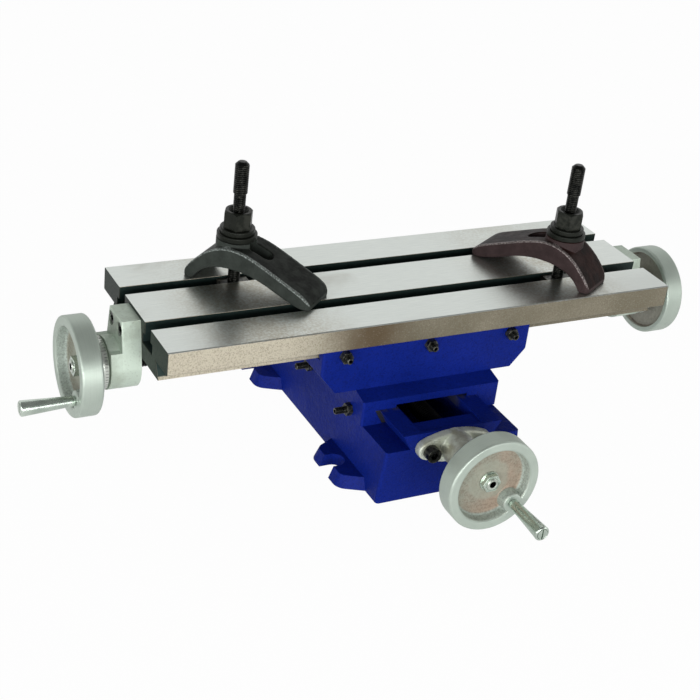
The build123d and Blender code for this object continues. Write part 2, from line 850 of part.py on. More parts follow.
# Cross nut: flanged block that hangs from the saddle round the cross screw
with BuildPart() as cross_nut:
    with BuildSketch(saddle_section):
        nut_bottom = cross_screw_height - cross_nut_depth
        flange_low = relief_ceiling - cross_nut_flange_thickness
        with Locations((cross_way_x, (nut_bottom + flange_low) / 2)):
            Rectangle(cross_nut_body, flange_low - nut_bottom)
        with Locations((cross_way_x, (flange_low + relief_ceiling) / 2)):
            Rectangle(cross_nut_flange, cross_nut_flange_thickness)
        with Locations((cross_way_x, cross_screw_height)):
            Circle(screw_radius + running_clearance, mode=Mode.SUBTRACT)
    extrude(amount=cross_nut_length / 2, both=True)
    with BuildSketch(Plane.XY.offset(relief_ceiling)):
        with Locations((cross_way_x, saddle_rest)):
            with GridLocations(cross_nut_screw_spacing, 0, 2, 1):
                Circle(small_screw_radius + fit_clearance)
    extrude(amount=-cross_nut_flange_thickness, mode=Mode.SUBTRACT)
save(cross_nut, "cross_nut")

cross_nut_screw_plane = Plane(
    origin=(cross_way_x, saddle_rest, relief_ceiling - cross_nut_flange_thickness),
    x_dir=(1, 0, 0),
    z_dir=(0, 0, -1),
)
cross_nut_screws = cap_screws(
    cross_nut_screw_plane,
    [(-cross_nut_screw_spacing / 2, 0), (cross_nut_screw_spacing / 2, 0)],
    small_screw_radius,
    cross_nut_flange_thickness + nut_screw_engagement,
    small_head_radius,
    small_head_height,
    small_socket,
)
save(cross_nut_screws, "cross_nut_screws")

# Table nut: block in the saddle's channel round the table screw
with BuildPart() as table_nut:
    nut_width = channel_width - 2 * slide_gap
    with BuildSketch(saddle_profile.offset(table_nut_place)) as nut_section:
        with Locations((0, channel_floor + table_nut_height / 2)):
            Rectangle(nut_width, table_nut_height)
        chamfer(nut_section.vertices().group_by(Axis.Z)[0], channel_corner)
        with Locations((0, table_screw_height)):
            Circle(screw_radius + running_clearance, mode=Mode.SUBTRACT)
    extrude(amount=table_nut_length / 2, both=True)
    with BuildSketch(Plane.XY.offset(channel_floor)):
        with Locations((table_nut_place, saddle_rest)):
            with GridLocations(0, table_nut_screw_spacing, 1, 2):
                Circle(nut_screw_radius + fit_clearance)
    extrude(amount=nut_screw_engagement + 1, mode=Mode.SUBTRACT)
save(table_nut, "table_nut")

table_nut_screw_plane = Plane(
    origin=(table_nut_place, saddle_rest, saddle_underside + nut_screw_recess),
    x_dir=(1, 0, 0),
    z_dir=(0, 0, -1),
)
table_nut_screws = cap_screws(
    table_nut_screw_plane,
    [(0, -table_nut_screw_spacing / 2), (0, table_nut_screw_spacing / 2)],
    nut_screw_radius,
    channel_floor - saddle_underside - nut_screw_recess + nut_screw_engagement,
    nut_screw_head_radius,
    nut_screw_head_height,
    small_socket - 1,
)
save(table_nut_screws, "table_nut_screws")

# Table plate: flat plate with two T-slots and the male dovetail below
with BuildPart() as table_plate:
    with BuildSketch(saddle_profile) as plate_section:
        with Locations((0, table_top - table_thickness / 2)):
            Rectangle(table_width, table_thickness)
        chamfer(plate_section.vertices().group_by(Axis.Z)[-1], table_chamfer)
        with BuildLine():
            Polyline(
                (-table_way_width / 2, table_underside),
                (table_way_width / 2, table_underside),
                (widening(table_way_width / 2, table_way_height), table_way_bottom),
                (-widening(table_way_width / 2, table_way_height), table_way_bottom),
                close=True,
            )
        make_face()
        undercut_height = table_thickness - slot_depth
        with Locations((0, table_top - slot_depth / 2)):
            with GridLocations(slot_spacing, 0, 2, 1):
                Rectangle(slot_throat, slot_depth, mode=Mode.SUBTRACT)
        with Locations((0, table_underside + undercut_height / 2)):
            with GridLocations(slot_spacing, 0, 2, 1):
                Rectangle(slot_undercut, undercut_height, mode=Mode.SUBTRACT)
    extrude(amount=table_end, both=True)
    for side in (-1, 1):
        end_plane = saddle_profile.offset(side * table_end)
        with BuildSketch(end_plane):
            with Locations((0, table_top - end_screw_drop)):
                with GridLocations(end_screw_spacing, 0, 2, 1):
                    Circle(small_screw_radius + fit_clearance)
        extrude(amount=-side * (end_screw_engagement + 1), mode=Mode.SUBTRACT)
save(table_plate, "table_plate")


# End bracket: plate that narrows to its top, round the screw, with a round boss outside
def end_bracket(axis_plane):
    face = across(axis_plane, table_end)
    top_x = end_bracket_top_width / 2
    top_y = table_screw_drop - end_bracket_drop
    lean = acos(end_bracket_radius / hypot(top_x, top_y))
    touch = atan2(top_y, top_x) - lean
    touch_x = end_bracket_radius * cos(touch)
    touch_y = end_bracket_radius * sin(touch)
    screw_rise = table_screw_drop - end_screw_drop
    with BuildPart() as bracket:
        with BuildSketch(face):
            with BuildLine():
                Polyline((touch_x, touch_y), (top_x, top_y), (-top_x, top_y), (-touch_x, touch_y))
                ThreePointArc((-touch_x, touch_y), (0, -end_bracket_radius), (touch_x, touch_y))
            make_face()
        extrude(amount=end_bracket_thickness)
        outer_edges = bracket.faces().filter_by(Axis.X).sort_by_distance(face.origin)[-1].edges()
        fillet(outer_edges, 1.2)
        boss_end = table_wheel_place - dial_width - 2 * thrust_gap - table_end
        with BuildSketch(face):
            Circle(end_boss_radius)
        extrude(amount=boss_end)
        with BuildSketch(face):
            Circle(journal_radius + running_clearance)
        extrude(amount=boss_end, mode=Mode.SUBTRACT)
        with BuildSketch(face):
            with Locations((0, screw_rise)):
                with GridLocations(end_screw_spacing, 0, 2, 1):
                    Circle(small_screw_radius + fit_clearance)
        extrude(amount=end_bracket_thickness, mode=Mode.SUBTRACT)
        with BuildSketch(face.offset(end_bracket_thickness)):
            with Locations((0, screw_rise)):
                with GridLocations(end_screw_spacing, 0, 2, 1):
                    Circle(end_counterbore_radius)
        extrude(amount=-end_counterbore_depth, mode=Mode.SUBTRACT)
    return bracket


for side, axis_plane in (("left", left_axis), ("right", right_axis)):
    save(end_bracket(axis_plane), f"{side}_end_bracket")
    counterbore_floor = across(axis_plane, table_end + end_bracket_thickness - end_counterbore_depth)
    screw_rise = table_screw_drop - end_screw_drop
    end_screws = cap_screws(
        counterbore_floor,
        [(-end_screw_spacing / 2, screw_rise), (end_screw_spacing / 2, screw_rise)],
        small_screw_radius,
        end_bracket_thickness - end_counterbore_depth + end_screw_engagement,
        small_head_radius,
        small_head_height,
        small_socket,
    )
    save(end_screws, f"{side}_bracket_screws")


# Strap clamp: arched strap with a long leg and a short toe, held by a stud from a tee nut
def clamp(name, stud_x, slot_side, angle):
    stud_y = saddle_rest + slot_side * slot_spacing / 2
    top = Plane(
        origin=(stud_x, stud_y, table_top),
        x_dir=(cos(radians(angle)), sin(radians(angle)), 0),
        z_dir=(0, 0, 1),
    )
    square = Plane(origin=top.origin)
    side_view = Plane(origin=top.origin, x_dir=top.x_dir, z_dir=-top.y_dir)
    slot_floor = -table_thickness + tee_nut_gap
    nut_width = slot_undercut - 2 * tee_nut_gap
    neck_width = slot_throat - 2 * tee_nut_gap
    with BuildPart() as tee_nut:
        with BuildSketch(square.offset(slot_floor)):
            Rectangle(tee_nut_length, nut_width)
        extrude(amount=table_thickness - slot_depth - 2 * tee_nut_gap)
        with BuildSketch(square.offset(slot_floor)):
            Rectangle(tee_nut_length, neck_width)
        extrude(amount=table_thickness - slot_depth + tee_nut_neck - tee_nut_gap)
        with BuildSketch(square.offset(slot_floor)):
            Circle(stud_radius + fit_clearance)
        extrude(amount=table_thickness, mode=Mode.SUBTRACT)
    save(tee_nut, f"{name}_tee_nut")

    with BuildPart() as stud:
        with BuildSketch(side_view):
            with BuildLine():
                Polyline(
                    (0, slot_floor),
                    (stud_radius, slot_floor),
                    (stud_radius, stud_step),
                    (stud_tip_radius, stud_step + 1),
                    (stud_tip_radius, stud_height - stud_tip_round),
                    (stud_tip_radius - stud_tip_round, stud_height),
                    (0, stud_height),
                    close=True,
                )
            make_face()
        revolve(axis=Axis(top.origin, (0, 0, 1)))
    save(stud, f"{name}_stud")

    with BuildPart() as strap:
        heel = strap_length - strap_toe
        with BuildSketch(side_view):
            with BuildLine():
                Spline(
                    (-strap_toe, 4),
                    (2.5 - strap_toe, 8.5),
                    (12 - strap_toe, 20),
                    (29 - strap_toe, 32),
                    (5, 35),
                    (heel - 48, 29),
                    (heel - 18, 16.2),
                    (heel - 4.5, 9),
                    (heel, 4),
                )
                Polyline((heel, 4), (heel, strap_lift), (heel - 8, strap_lift))
                Spline(
                    (heel - 8, strap_lift),
                    (heel - 26, 5.8),
                    (heel - 50, 14.9),
                    (9.5, 17.6),
                    (21.6 - strap_toe, 12.6),
                    (9 - strap_toe, strap_lift),
                )
                Polyline((9 - strap_toe, strap_lift), (-strap_toe, strap_lift), (-strap_toe, 4))
            make_face()
        extrude(amount=strap_width / 2, both=True)
        with BuildSketch(top):
            with Locations((heel - strap_length / 2, 0)):
                RectangleRounded(strap_length, strap_width, strap_corner)
        extrude(amount=seat_height, mode=Mode.INTERSECT)
        with BuildSketch(top.offset(seat_height)):
            Circle(seat_radius_strap)
        extrude(amount=-(seat_height - 30))
        with BuildSketch(top):
            Circle(strap_slot_width / 2)
            with Locations((strap_slot_length / 2, 0)):
                Rectangle(strap_slot_length, strap_slot_width)
            with Locations((strap_slot_length, 0)):
                Circle(strap_slot_width / 2)
        extrude(amount=seat_height, mode=Mode.SUBTRACT)
    save(strap, f"{name}_strap")

    # Washers and nut, stacked on the strap's seat
    lower_z = seat_height
    upper_z = lower_z + lower_washer_thickness + washer_gap
    nut_z = upper_z + upper_washer_thickness + washer_gap
    bore = stud_radius + running_clearance
    with BuildPart() as lower_washer:
        with BuildSketch(square.offset(lower_z)):
            Circle(lower_washer_radius)
            Circle(bore, mode=Mode.SUBTRACT)
        extrude(amount=lower_washer_thickness)
        fillet(lower_washer.faces().sort_by(Axis.Z)[-1].edges().sort_by(SortBy.RADIUS)[-1], 1)
    save(lower_washer, f"{name}_lower_washer")
    with BuildPart() as upper_washer:
        with BuildSketch(square.offset(upper_z)):
            Circle(upper_washer_radius)
            Circle(bore, mode=Mode.SUBTRACT)
        extrude(amount=upper_washer_thickness)
        fillet(upper_washer.faces().sort_by(Axis.Z)[-1].edges().sort_by(SortBy.RADIUS)[-1], 1)
    save(upper_washer, f"{name}_upper_washer")
    with BuildPart() as clamp_nut:
        with BuildSketch(square.offset(nut_z)):
            RegularPolygon(clamp_nut_across_flats / 2, 6, major_radius=False)
            Circle(bore, mode=Mode.SUBTRACT)
        extrude(amount=clamp_nut_height)
        with BuildSketch(square.offset(nut_z + clamp_nut_height)):
            Circle(clamp_nut_mouth_radius)
        with BuildSketch(square.offset(nut_z + clamp_nut_height - clamp_nut_mouth_depth)):
            Circle(bore)
        loft(mode=Mode.SUBTRACT)
    save(clamp_nut, f"{name}_clamp_nut")


clamp("left", left_clamp_x, 1, left_clamp_angle)
clamp("right", right_clamp_x, -1, right_clamp_angle)
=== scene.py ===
import json
import math
import bmesh
import bpy
from mathutils import Matrix, Vector


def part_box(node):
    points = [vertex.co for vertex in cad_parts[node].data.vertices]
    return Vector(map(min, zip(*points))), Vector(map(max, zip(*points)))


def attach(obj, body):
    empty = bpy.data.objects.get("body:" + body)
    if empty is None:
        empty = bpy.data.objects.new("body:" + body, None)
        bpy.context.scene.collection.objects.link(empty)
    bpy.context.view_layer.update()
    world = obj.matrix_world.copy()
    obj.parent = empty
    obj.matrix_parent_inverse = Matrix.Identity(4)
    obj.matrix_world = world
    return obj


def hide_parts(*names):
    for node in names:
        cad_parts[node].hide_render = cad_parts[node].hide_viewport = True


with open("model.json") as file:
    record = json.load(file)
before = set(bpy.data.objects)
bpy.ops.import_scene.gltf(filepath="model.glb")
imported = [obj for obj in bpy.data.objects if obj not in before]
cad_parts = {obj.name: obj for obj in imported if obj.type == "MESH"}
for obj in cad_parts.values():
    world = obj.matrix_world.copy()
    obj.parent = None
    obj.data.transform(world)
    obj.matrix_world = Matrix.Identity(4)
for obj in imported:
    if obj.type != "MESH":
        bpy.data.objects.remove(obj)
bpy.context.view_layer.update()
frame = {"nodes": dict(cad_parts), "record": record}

mm = 0.001

# Base: iron cast in sand, with four slotted feet and the cross way milled along its top.
# Sprayed blue over the rough cast skin; the paint on the way is rubbed thin where the saddle runs.

cross_low, cross_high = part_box("cross_screw")
cross_origin = Vector(((cross_low.x + cross_high.x) / 2, 0, (cross_low.z + cross_high.z) / 2))
way_shelf = 49 * mm
pocket_side = 29.2 * mm
rubbed_run = 88 * mm


class Wire:
    """One socket of a node tree. Arithmetic on it adds Math nodes, and node() adds any other."""

    def __init__(self, tree, socket=None):
        self.tree = tree
        self.socket = socket

    def node(self, kind, settings={}, sockets={}, out=0):
        made = self.tree.nodes.new(kind)
        for name, value in settings.items():
            setattr(made, name, value)
        for name, value in sockets.items():
            if isinstance(value, Wire):
                self.tree.links.new(value.socket, made.inputs[name])
            else:
                made.inputs[name].default_value = value
        return Wire(self.tree, made.outputs[out] if made.outputs else None)

    def maths(self, operation, *others):
        return self.node("ShaderNodeMath", {"operation": operation}, dict(enumerate((self, *others))))

    def __add__(self, other):
        return self.maths("ADD", other)

    def __sub__(self, other):
        return self.maths("SUBTRACT", other)

    def __rsub__(self, other):
        return self.node("ShaderNodeMath", {"operation": "SUBTRACT"}, {0: other, 1: self})

    def __mul__(self, other):
        return self.maths("MULTIPLY", other)

    def __truediv__(self, other):
        return self.maths("DIVIDE", other)

    def __mod__(self, other):
        return self.maths("FLOORED_MODULO", other)

    def __gt__(self, other):
        return self.maths("GREATER_THAN", other)

    def __lt__(self, other):
        return self.maths("LESS_THAN", other)

    def __abs__(self):
        return self.maths("ABSOLUTE")

    __radd__ = __add__
    __rmul__ = __mul__

    def clamped(self):
        return self.maths("MINIMUM", 1.0).maths("MAXIMUM", 0.0)

    def step(self, low, high):
        """0 below low, 1 above high, smooth between."""
        sizes = {"Value": self, "From Min": low, "From Max": high}
        return self.node("ShaderNodeMapRange", {"interpolation_type": "SMOOTHSTEP"}, sizes)

    def paints(self, under, over):
        """The colour under where this mask is 0, and over where it is 1."""
        return self.node("ShaderNodeMix", {"data_type": "RGBA"}, {0: self, 6: under, 7: over}, 2)

    def parts(self):
        """The x, y and z of this vector."""
        split = self.node("ShaderNodeSeparateXYZ", {}, {0: self})
        return [Wire(self.tree, out) for out in split.socket.node.outputs]

    def scaled(self, x, y, z):
        sizes = {"Vector": self, "Scale": (x, y, z)}
        return self.node("ShaderNodeMapping", {}, sizes)

    def noise(self, scale, detail=2.0, rough=0.5, twist=0.0):
        sizes = {"Vector": self, "Scale": scale, "Detail": detail, "Roughness": rough, "Distortion": twist}
        return self.node("ShaderNodeTexNoise", {}, sizes)


def finish(name):
    """A new material, and the place on the piece that its patterns start from."""
    made = bpy.data.materials.new(name)
    made.use_nodes = True
    made.node_tree.nodes.clear()
    return made, Wire(made.node_tree).node("ShaderNodeTexCoord", {}, {}, "Object")


def surface(place, colour, rough, metal=0.0, height=None, depth=0.2 * mm, shine=0.5):
    """Closes a material with one shader."""
    sockets = {"Base Color": colour, "Roughness": rough, "Metallic": metal, "Specular IOR Level": shine}
    if height is not None:
        sockets["Normal"] = place.node("ShaderNodeBump", {}, {"Height": height, "Distance": depth})
    shader = place.node("ShaderNodeBsdfPrincipled", {}, sockets)
    place.node("ShaderNodeOutputMaterial", {}, {"Surface": shader})


def shaded(colour, share):
    """A colour made darker or lighter by a share of itself."""
    return tuple(share * part for part in colour[:3]) + (1,)


def cast_paint(name, bare, iron_shade_share):
    """Blue paint over sand-cast iron with painted glints, and bare milled iron where the mask that bare
    gives is 1.
    """
    deep_blue = (0.0029, 0.0135, 0.178, 1)
    full_blue = (0.0045, 0.0175, 0.225, 1)
    glint_blue = (0.012, 0.035, 0.34, 1)
    pit_blue = (0.001, 0.003, 0.045, 1)
    # The bare iron's tones are scaled by this share; below 1 it is painted shade.
    dull_iron = shaded((0.07, 0.075, 0.08), iron_shade_share)
    clean_iron = shaded((0.20, 0.20, 0.19), iron_shade_share)
    made, place = finish(name)
    skin = place.noise(230, 4, 0.6) * 0.9 + place.noise(60, 2) * 0.9
    paint = place.noise(14, 3).step(0.3, 0.7).paints(deep_blue, full_blue)
    # Painted highlights: light blue specks stand for the glints on the paint's bumps.
    glint_specks = place.noise(1000, 3, 0.6).step(0.50, 0.66) * 0.30
    paint = glint_specks.paints(paint, glint_blue)
    pits = place.noise(700, 3).step(0.50, 0.68) * 0.40
    paint = pits.paints(paint, pit_blue)
    mask, strokes = bare(place, *place.parts())
    colour = mask.paints(paint, strokes.paints(dull_iron, clean_iron))
    rough = (0.34 + place.noise(90, 3) * 0.22) * (1 - mask) + mask * 0.4
    height = skin * (1 - mask) + strokes * mask * 0.15
    surface(place, colour, rough, mask * 0.85, height, 0.7 * mm, 0.08)
    return made


def rubbed_way(place, x, y, z):
    """Streaks along the top of the cross way, beside its pocket, and the strokes of the mill."""
    above = z.step(way_shelf, way_shelf + 0.6 * mm)
    beside = abs(x - cross_origin.x).step(pocket_side, pocket_side + 0.6 * mm)
    run = 1 - abs(y).step(rubbed_run, rubbed_run + 12 * mm)
    streaks = place.scaled(1, 0.06, 1).noise(120, 3, 0.6).step(0.44, 0.56)
    return above * beside * run * streaks, place.scaled(1, 0.02, 1).noise(900, 2)


def body_of(node):
    """The body that carries a CAD node."""
    for body, members in frame["record"]["behaviour"]["bodies"].items():
        if node in members:
            return body


def stood(name, data):
    """A new object in the scene that holds this mesh, lamp or camera."""
    made = bpy.data.objects.new(name, data)
    bpy.context.scene.collection.objects.link(made)
    return made


def meshed(name, shape):
    """A new piece in the scene with this shape."""
    mesh = bpy.data.meshes.new(name)
    shape.to_mesh(mesh)
    shape.free()
    return stood(name, mesh)


def joined(node, name):
    """A copy of a CAD node's mesh with its loose triangles joined up."""
    shape = bmesh.new()
    shape.from_mesh(frame["nodes"][node].data)
    bmesh.ops.remove_doubles(shape, verts=shape.verts, dist=0.002 * mm)
    bmesh.ops.dissolve_limit(shape, angle_limit=math.radians(0.4), verts=shape.verts, edges=shape.edges)
    return meshed(name, shape)


def coat(piece, material):
    """Gives a piece one material in place of what it had."""
    piece.data.materials.clear()
    piece.data.materials.append(material)


def settle(piece, material, node):
    """Gives a piece its material and its place in the assembly."""
    coat(piece, material)
    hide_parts(node)
    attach(piece, body_of(node))


def eased(node, edge, material, steps=2, shaped=None):
    """A piece in a CAD node's place, or the one shaped for it, with its sharp edges rounded off."""
    piece = shaped or joined(node, node + "_eased")
    piece.data.shade_smooth()
    bevel = piece.modifiers.new("edges", "BEVEL")
    bevel.width = edge
    bevel.segments = steps
    bevel.limit_method = "ANGLE"
    bevel.angle_limit = math.radians(28)
    bevel.use_clamp_overlap = True
    piece.modifiers.new("flats", "WEIGHTED_NORMAL").keep_sharp = False
    settle(piece, material, node)


base_paint = cast_paint("base_paint", rubbed_way, 1.0)
eased("base_casting", 0.9 * mm, base_paint, 3)

# Front bracket: an aluminium casting with an oval flange and a round boss for the cross screw,
# held to the base by two socket screws. Its skin is dull and stained where hands don't polish it.


def cast_aluminium(name, pale, stain, amount):
    """Cast skin with stains in blots over this amount of it, and dark specks."""
    speck_grey = (0.22, 0.23, 0.19, 1)
    made, place = finish(name)
    blots = place.noise(55, 4, 0.6).step(0.42, 0.66) * amount
    specks = place.noise(520, 2).step(0.55, 0.75) * 0.25
    colour = specks.paints(blots.paints(pale, stain), speck_grey)
    rough = 0.40 + place.noise(130, 3) * 0.2
    surface(place, colour, rough, 0.45, place.noise(260, 4, 0.6), 0.25 * mm)
    return made


def flatten(piece):
    """Makes what a piece's modifiers show its own mesh."""
    seen = piece.evaluated_get(bpy.context.evaluated_depsgraph_get())
    plain = bpy.data.meshes.new_from_object(seen)
    piece.modifiers.clear()
    piece.data = plain


def smoothed(node, name, grain, rounds):
    """A piece in a CAD node's place, remade as one skin so that its inner corners are filleted."""
    piece = joined(node, name)
    skin = piece.modifiers.new("skin", "REMESH")
    skin.mode = "VOXEL"
    skin.voxel_size = grain
    ease = piece.modifiers.new("ease", "SMOOTH")
    ease.factor = 0.5
    ease.iterations = rounds
    flatten(piece)
    piece.data.shade_smooth()
    return piece


front_aluminium = cast_aluminium("front_aluminium", (0.66, 0.70, 0.60, 1), (0.30, 0.285, 0.18, 1), 0.7)
bracket = smoothed("cross_screw_bracket", "cross_screw_bracket_cast", 0.5 * mm, 10)
settle(bracket, front_aluminium, "cross_screw_bracket")


def blacked(name, tone, gloss, glints=1.0):
    """Steel blacked in hot salts, a thin hard skin that glints at its edges."""
    worn_steel = (0.20, 0.20, 0.17, 1)
    made, place = finish(name)
    edges = place.node("ShaderNodeNewGeometry", {}, {}, "Pointiness").step(0.52, 0.60)
    wear_and_shade = edges * place.noise(240, 3).step(0.35, 0.65) * glints
    colour = wear_and_shade.paints(place.noise(90, 3).paints(tone, shaded(tone, 1.9)), worn_steel)
    rough = gloss + place.noise(180, 3) * 0.2
    surface(place, colour, rough, 0.55, place.noise(500, 2), 0.08 * mm, 0.3)
    return made


black_steel = blacked("black_steel", (0.0032, 0.0038, 0.0032, 1), 0.20)
eased("bracket_cap_screws", 0.35 * mm, black_steel)

# Lead screws: turned steel bars with a square-shouldered left or right hand thread between their
# journals, a seat for each wheel and a short hollow stub beyond it for the wheel nut.

table_low, table_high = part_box("table_screw")
table_origin = Vector((0, (table_low.y + table_high.y) / 2, (table_low.z + table_high.z) / 2))
frontward = Vector((0, -1, 0))
leftward = Vector((-1, 0, 0))
rightward = Vector((1, 0, 0))
screw_radius = 8 * mm
screw_pitch = 2.5 * mm
screw_groove = 1.2 * mm
cross_thread_end = 112 * mm
table_thread_end = 237.2 * mm
cross_oil_end = 136 * mm
collar_start = 131.05 * mm
collar_end = 136.85 * mm
collar_radius = 11 * mm
journal_radius = 7 * mm
seat_radius = 6 * mm
stub_radius = 5 * mm
stub_length = 6.8 * mm
centre_hole = 2.75 * mm
centre_hole_depth = 5 * mm
cross_end = -cross_low.y
table_end = table_high.x
cross_seat = cross_end - 15.2 * mm
table_seat = table_end - 15.2 * mm
faces_front = (math.pi / 2, 0.0, 0.0)
faces_left = (0.0, -math.pi / 2, 0.0)
faces_right = (0.0, math.pi / 2, 0.0)


def about(place, origin, out):
    """How far a point is from the line through origin along out, and how far along that line."""
    away = place.node("ShaderNodeVectorMath", {"operation": "SUBTRACT"}, {0: place, 1: tuple(origin)})
    flat = tuple(1 - abs(c) for c in out)
    spread = away.node("ShaderNodeVectorMath", {"operation": "MULTIPLY"}, {0: away, 1: flat})
    radius = spread.node("ShaderNodeVectorMath", {"operation": "LENGTH"}, {0: spread}, "Value")
    dot = {"operation": "DOT_PRODUCT"}
    return radius, away.node("ShaderNodeVectorMath", dot, {0: away, 1: tuple(out)}, "Value")


def oiled_steel(name, origin, out, oily_end):
    """Turned steel, black with old oil out to oily_end along it, and near black in its centre holes."""
    near_black = (0.008, 0.008, 0.008, 1)
    made, place = finish(name)
    radius, along = about(place, origin, out)
    oily = 1 - abs(along).step(oily_end - 0.5 * mm, oily_end + 0.5 * mm)
    # The centre holes are painted near black.
    hole = 1 - radius.step(centre_hole + 0.1 * mm, centre_hole + 0.3 * mm)
    dark = (oily + hole).maths("MINIMUM", 1.0)
    bright = place.noise(70, 3).paints((0.52, 0.56, 0.50, 1), (0.70, 0.74, 0.68, 1))
    rough = 0.24 + place.noise(200, 3) * 0.16 + dark * 0.2
    metal = 0.85 + dark * 0.15
    surface(place, dark.paints(bright, near_black), rough, metal, place.noise(700, 2), 0.05 * mm)
    return made


cross_steel = oiled_steel("cross_screw_steel", cross_origin, frontward, cross_oil_end)
table_steel = oiled_steel("table_screw_steel", table_origin, rightward, table_thread_end)


def rules_tree(name, counts, lengths):
    """A Geometry Nodes tree that grows from points, and its inputs by name."""
    tree = bpy.data.node_groups.new(name, "GeometryNodeTree")
    inputs = [("Points", "Geometry")]
    inputs += [(count, "Int") for count in counts]
    inputs += [(length, "Float") for length in lengths]
    inputs += [("Direction", "Vector"), ("Finish", "Material")]
    for label, kind in inputs:
        tree.interface.new_socket(label, in_out="INPUT", socket_type="NodeSocket" + kind)
    tree.interface.new_socket("Shapes", in_out="OUTPUT", socket_type="NodeSocketGeometry")
    inlet = tree.nodes.new("NodeGroupInput")
    return tree, {out.name: Wire(tree, out) for out in inlet.outputs if out.name}


def stand_on_points(tree, given, form):
    """Ends a tree with its form on each point, turned to Direction and in one material."""
    copies = {"Points": given["Points"], "Instance": form, "Rotation": given["Direction"]}
    copies = form.node("GeometryNodeInstanceOnPoints", {}, copies)
    real = form.node("GeometryNodeRealizeInstances", {}, {"Geometry": copies})
    ends = form.node("GeometryNodeSetMaterial", {}, {"Geometry": real, "Material": given["Finish"]})
    outlet = tree.nodes.new("NodeGroupOutput")
    tree.links.new(ends.socket, outlet.inputs[0])


def thread_rules():
    """Threaded rods: a grid rolled up, with rows along the rod and its thread in their radius.

    The first and the last row close the rod, and the two before the last make a hexagon socket.
    """
    tree, given = rules_tree("threaded_rod", ("Rows", "Sides"), (
        "Radius", "Foot Radius", "Step", "Depth", "Pitch", "Start", "End", "Tip", "Socket Radius",
        "Socket Depth", "Hand",
    ))
    rows = given["Rows"]
    sizes = {"Size X": rows - 1, "Size Y": 1.0, "Vertices X": rows, "Vertices Y": given["Sides"]}
    grid = given["Points"].node("GeometryNodeMeshGrid", {}, sizes)
    across, along = grid.node("GeometryNodeInputPosition").parts()[:2]
    row = across + (rows - 1) / 2
    angle = along * (-2 * math.pi)
    run = ((row - 1) / (rows - 5)).clamped()
    level = given["Start"] + run * (given["End"] - given["Start"])
    past_step = ((level - given["Step"]) / (1 * mm)).clamped()
    crest = given["Foot Radius"] + past_step * (given["Radius"] - given["Foot Radius"])
    phase = (level / given["Pitch"] + given["Hand"] * along) % 1.0
    groove = (1.25 - abs(phase * 2 - 1) * 2.5).clamped()
    radius = crest - given["Depth"] * groove
    radius = radius.maths("MINIMUM", given["End"] - level + given["Radius"] - given["Tip"])
    radius = radius.maths("MINIMUM", level - given["Start"] + given["Foot Radius"] - given["Tip"])
    sector = (angle + math.pi / 6) % (math.pi / 3) - math.pi / 6
    socket = given["Socket Radius"] / sector.maths("COSINE")
    wall = (row > 0.5) * (row < rows - 3.5)
    hollow = (row > rows - 3.5) * (row < rows - 1.5)
    radius = radius * wall + socket * hollow
    level = level - given["Socket Depth"] * (row > rows - 2.5)
    spot = {0: radius * angle.maths("COSINE"), 1: radius * angle.maths("SINE"), 2: level}
    spot = grid.node("ShaderNodeCombineXYZ", {}, spot)
    rod = grid.node("GeometryNodeSetPosition", {}, {"Geometry": grid, "Position": spot})
    rod = grid.node("GeometryNodeMergeByDistance", {}, {"Geometry": rod, "Distance": 0.001 * mm})
    stand_on_points(tree, given, rod)
    return tree


def grown(name, tree, points, sizes):
    """The plain mesh that a Geometry Nodes tree makes from points."""
    mesh = bpy.data.meshes.new(name)
    mesh.from_pydata(points, [], [])
    piece = stood(name, mesh)
    rules = piece.modifiers.new("rules", "NODES")
    rules.node_group = tree
    for item in tree.interface.items_tree:
        if item.name in sizes:
            rules[item.identifier] = sizes[item.name]
    flatten(piece)
    return piece


def threaded(name, points, direction, start, end, radius, pitch, depth, material, **more):
    """Threaded rods from start to end along direction from each point, with their own sizes."""
    rows_per_turn = 8
    sizes = {
        "Rows": int((end - start) / pitch * rows_per_turn) + 5, "Sides": 33, "Radius": radius,
        "Foot Radius": radius, "Step": start, "Depth": depth, "Pitch": pitch, "Start": start, "End": end,
        "Tip": 0.4 * mm, "Socket Radius": radius / 3, "Socket Depth": 0.0, "Hand": 1.0,
        "Direction": direction, "Finish": material,
    }
    sizes.update({label.replace("_", " ").title(): size for label, size in more.items()})
    piece = grown(name, thread_tree, points, sizes)
    piece.data.shade_smooth()
    piece.data.set_sharp_from_angle(angle=math.radians(50))
    return piece


thread_tree = thread_rules()


def lathe(name, outline, origin, direction, sides=96):
    """A solid turned from an outline of (along, radius), with along running from origin in direction."""
    shape = bmesh.new()
    side = direction.orthogonal().normalized()
    up = direction.cross(side)
    rings = []
    for index in range(sides):
        angle = 2 * math.pi * index / sides
        out = side * math.cos(angle) + up * math.sin(angle)
        rings.append([shape.verts.new(origin + direction * a + out * r) for a, r in outline])
    for index in range(sides):
        here, there = rings[index], rings[(index + 1) % sides]
        for k in range(len(outline)):
            j = (k + 1) % len(outline)
            shape.faces.new((here[k], there[k], there[j], here[j]))
    bmesh.ops.remove_doubles(shape, verts=shape.verts, dist=0.0001 * mm)
    bmesh.ops.recalc_face_normals(shape, faces=shape.faces)
    piece = meshed(name, shape)
    piece.data.shade_smooth()
    piece.data.set_sharp_from_angle(angle=math.radians(35))
    return piece


def merged(first, *others):
    """The first piece, with the meshes of the others joined to its own."""
    shape = bmesh.new()
    for piece in (first, *others):
        shape.from_mesh(piece.data)
    shape.to_mesh(first.data)
    shape.free()
    for piece in others:
        bpy.data.objects.remove(piece)
    first.data.shade_smooth()
    first.data.set_sharp_from_angle(angle=math.radians(40))
    return first


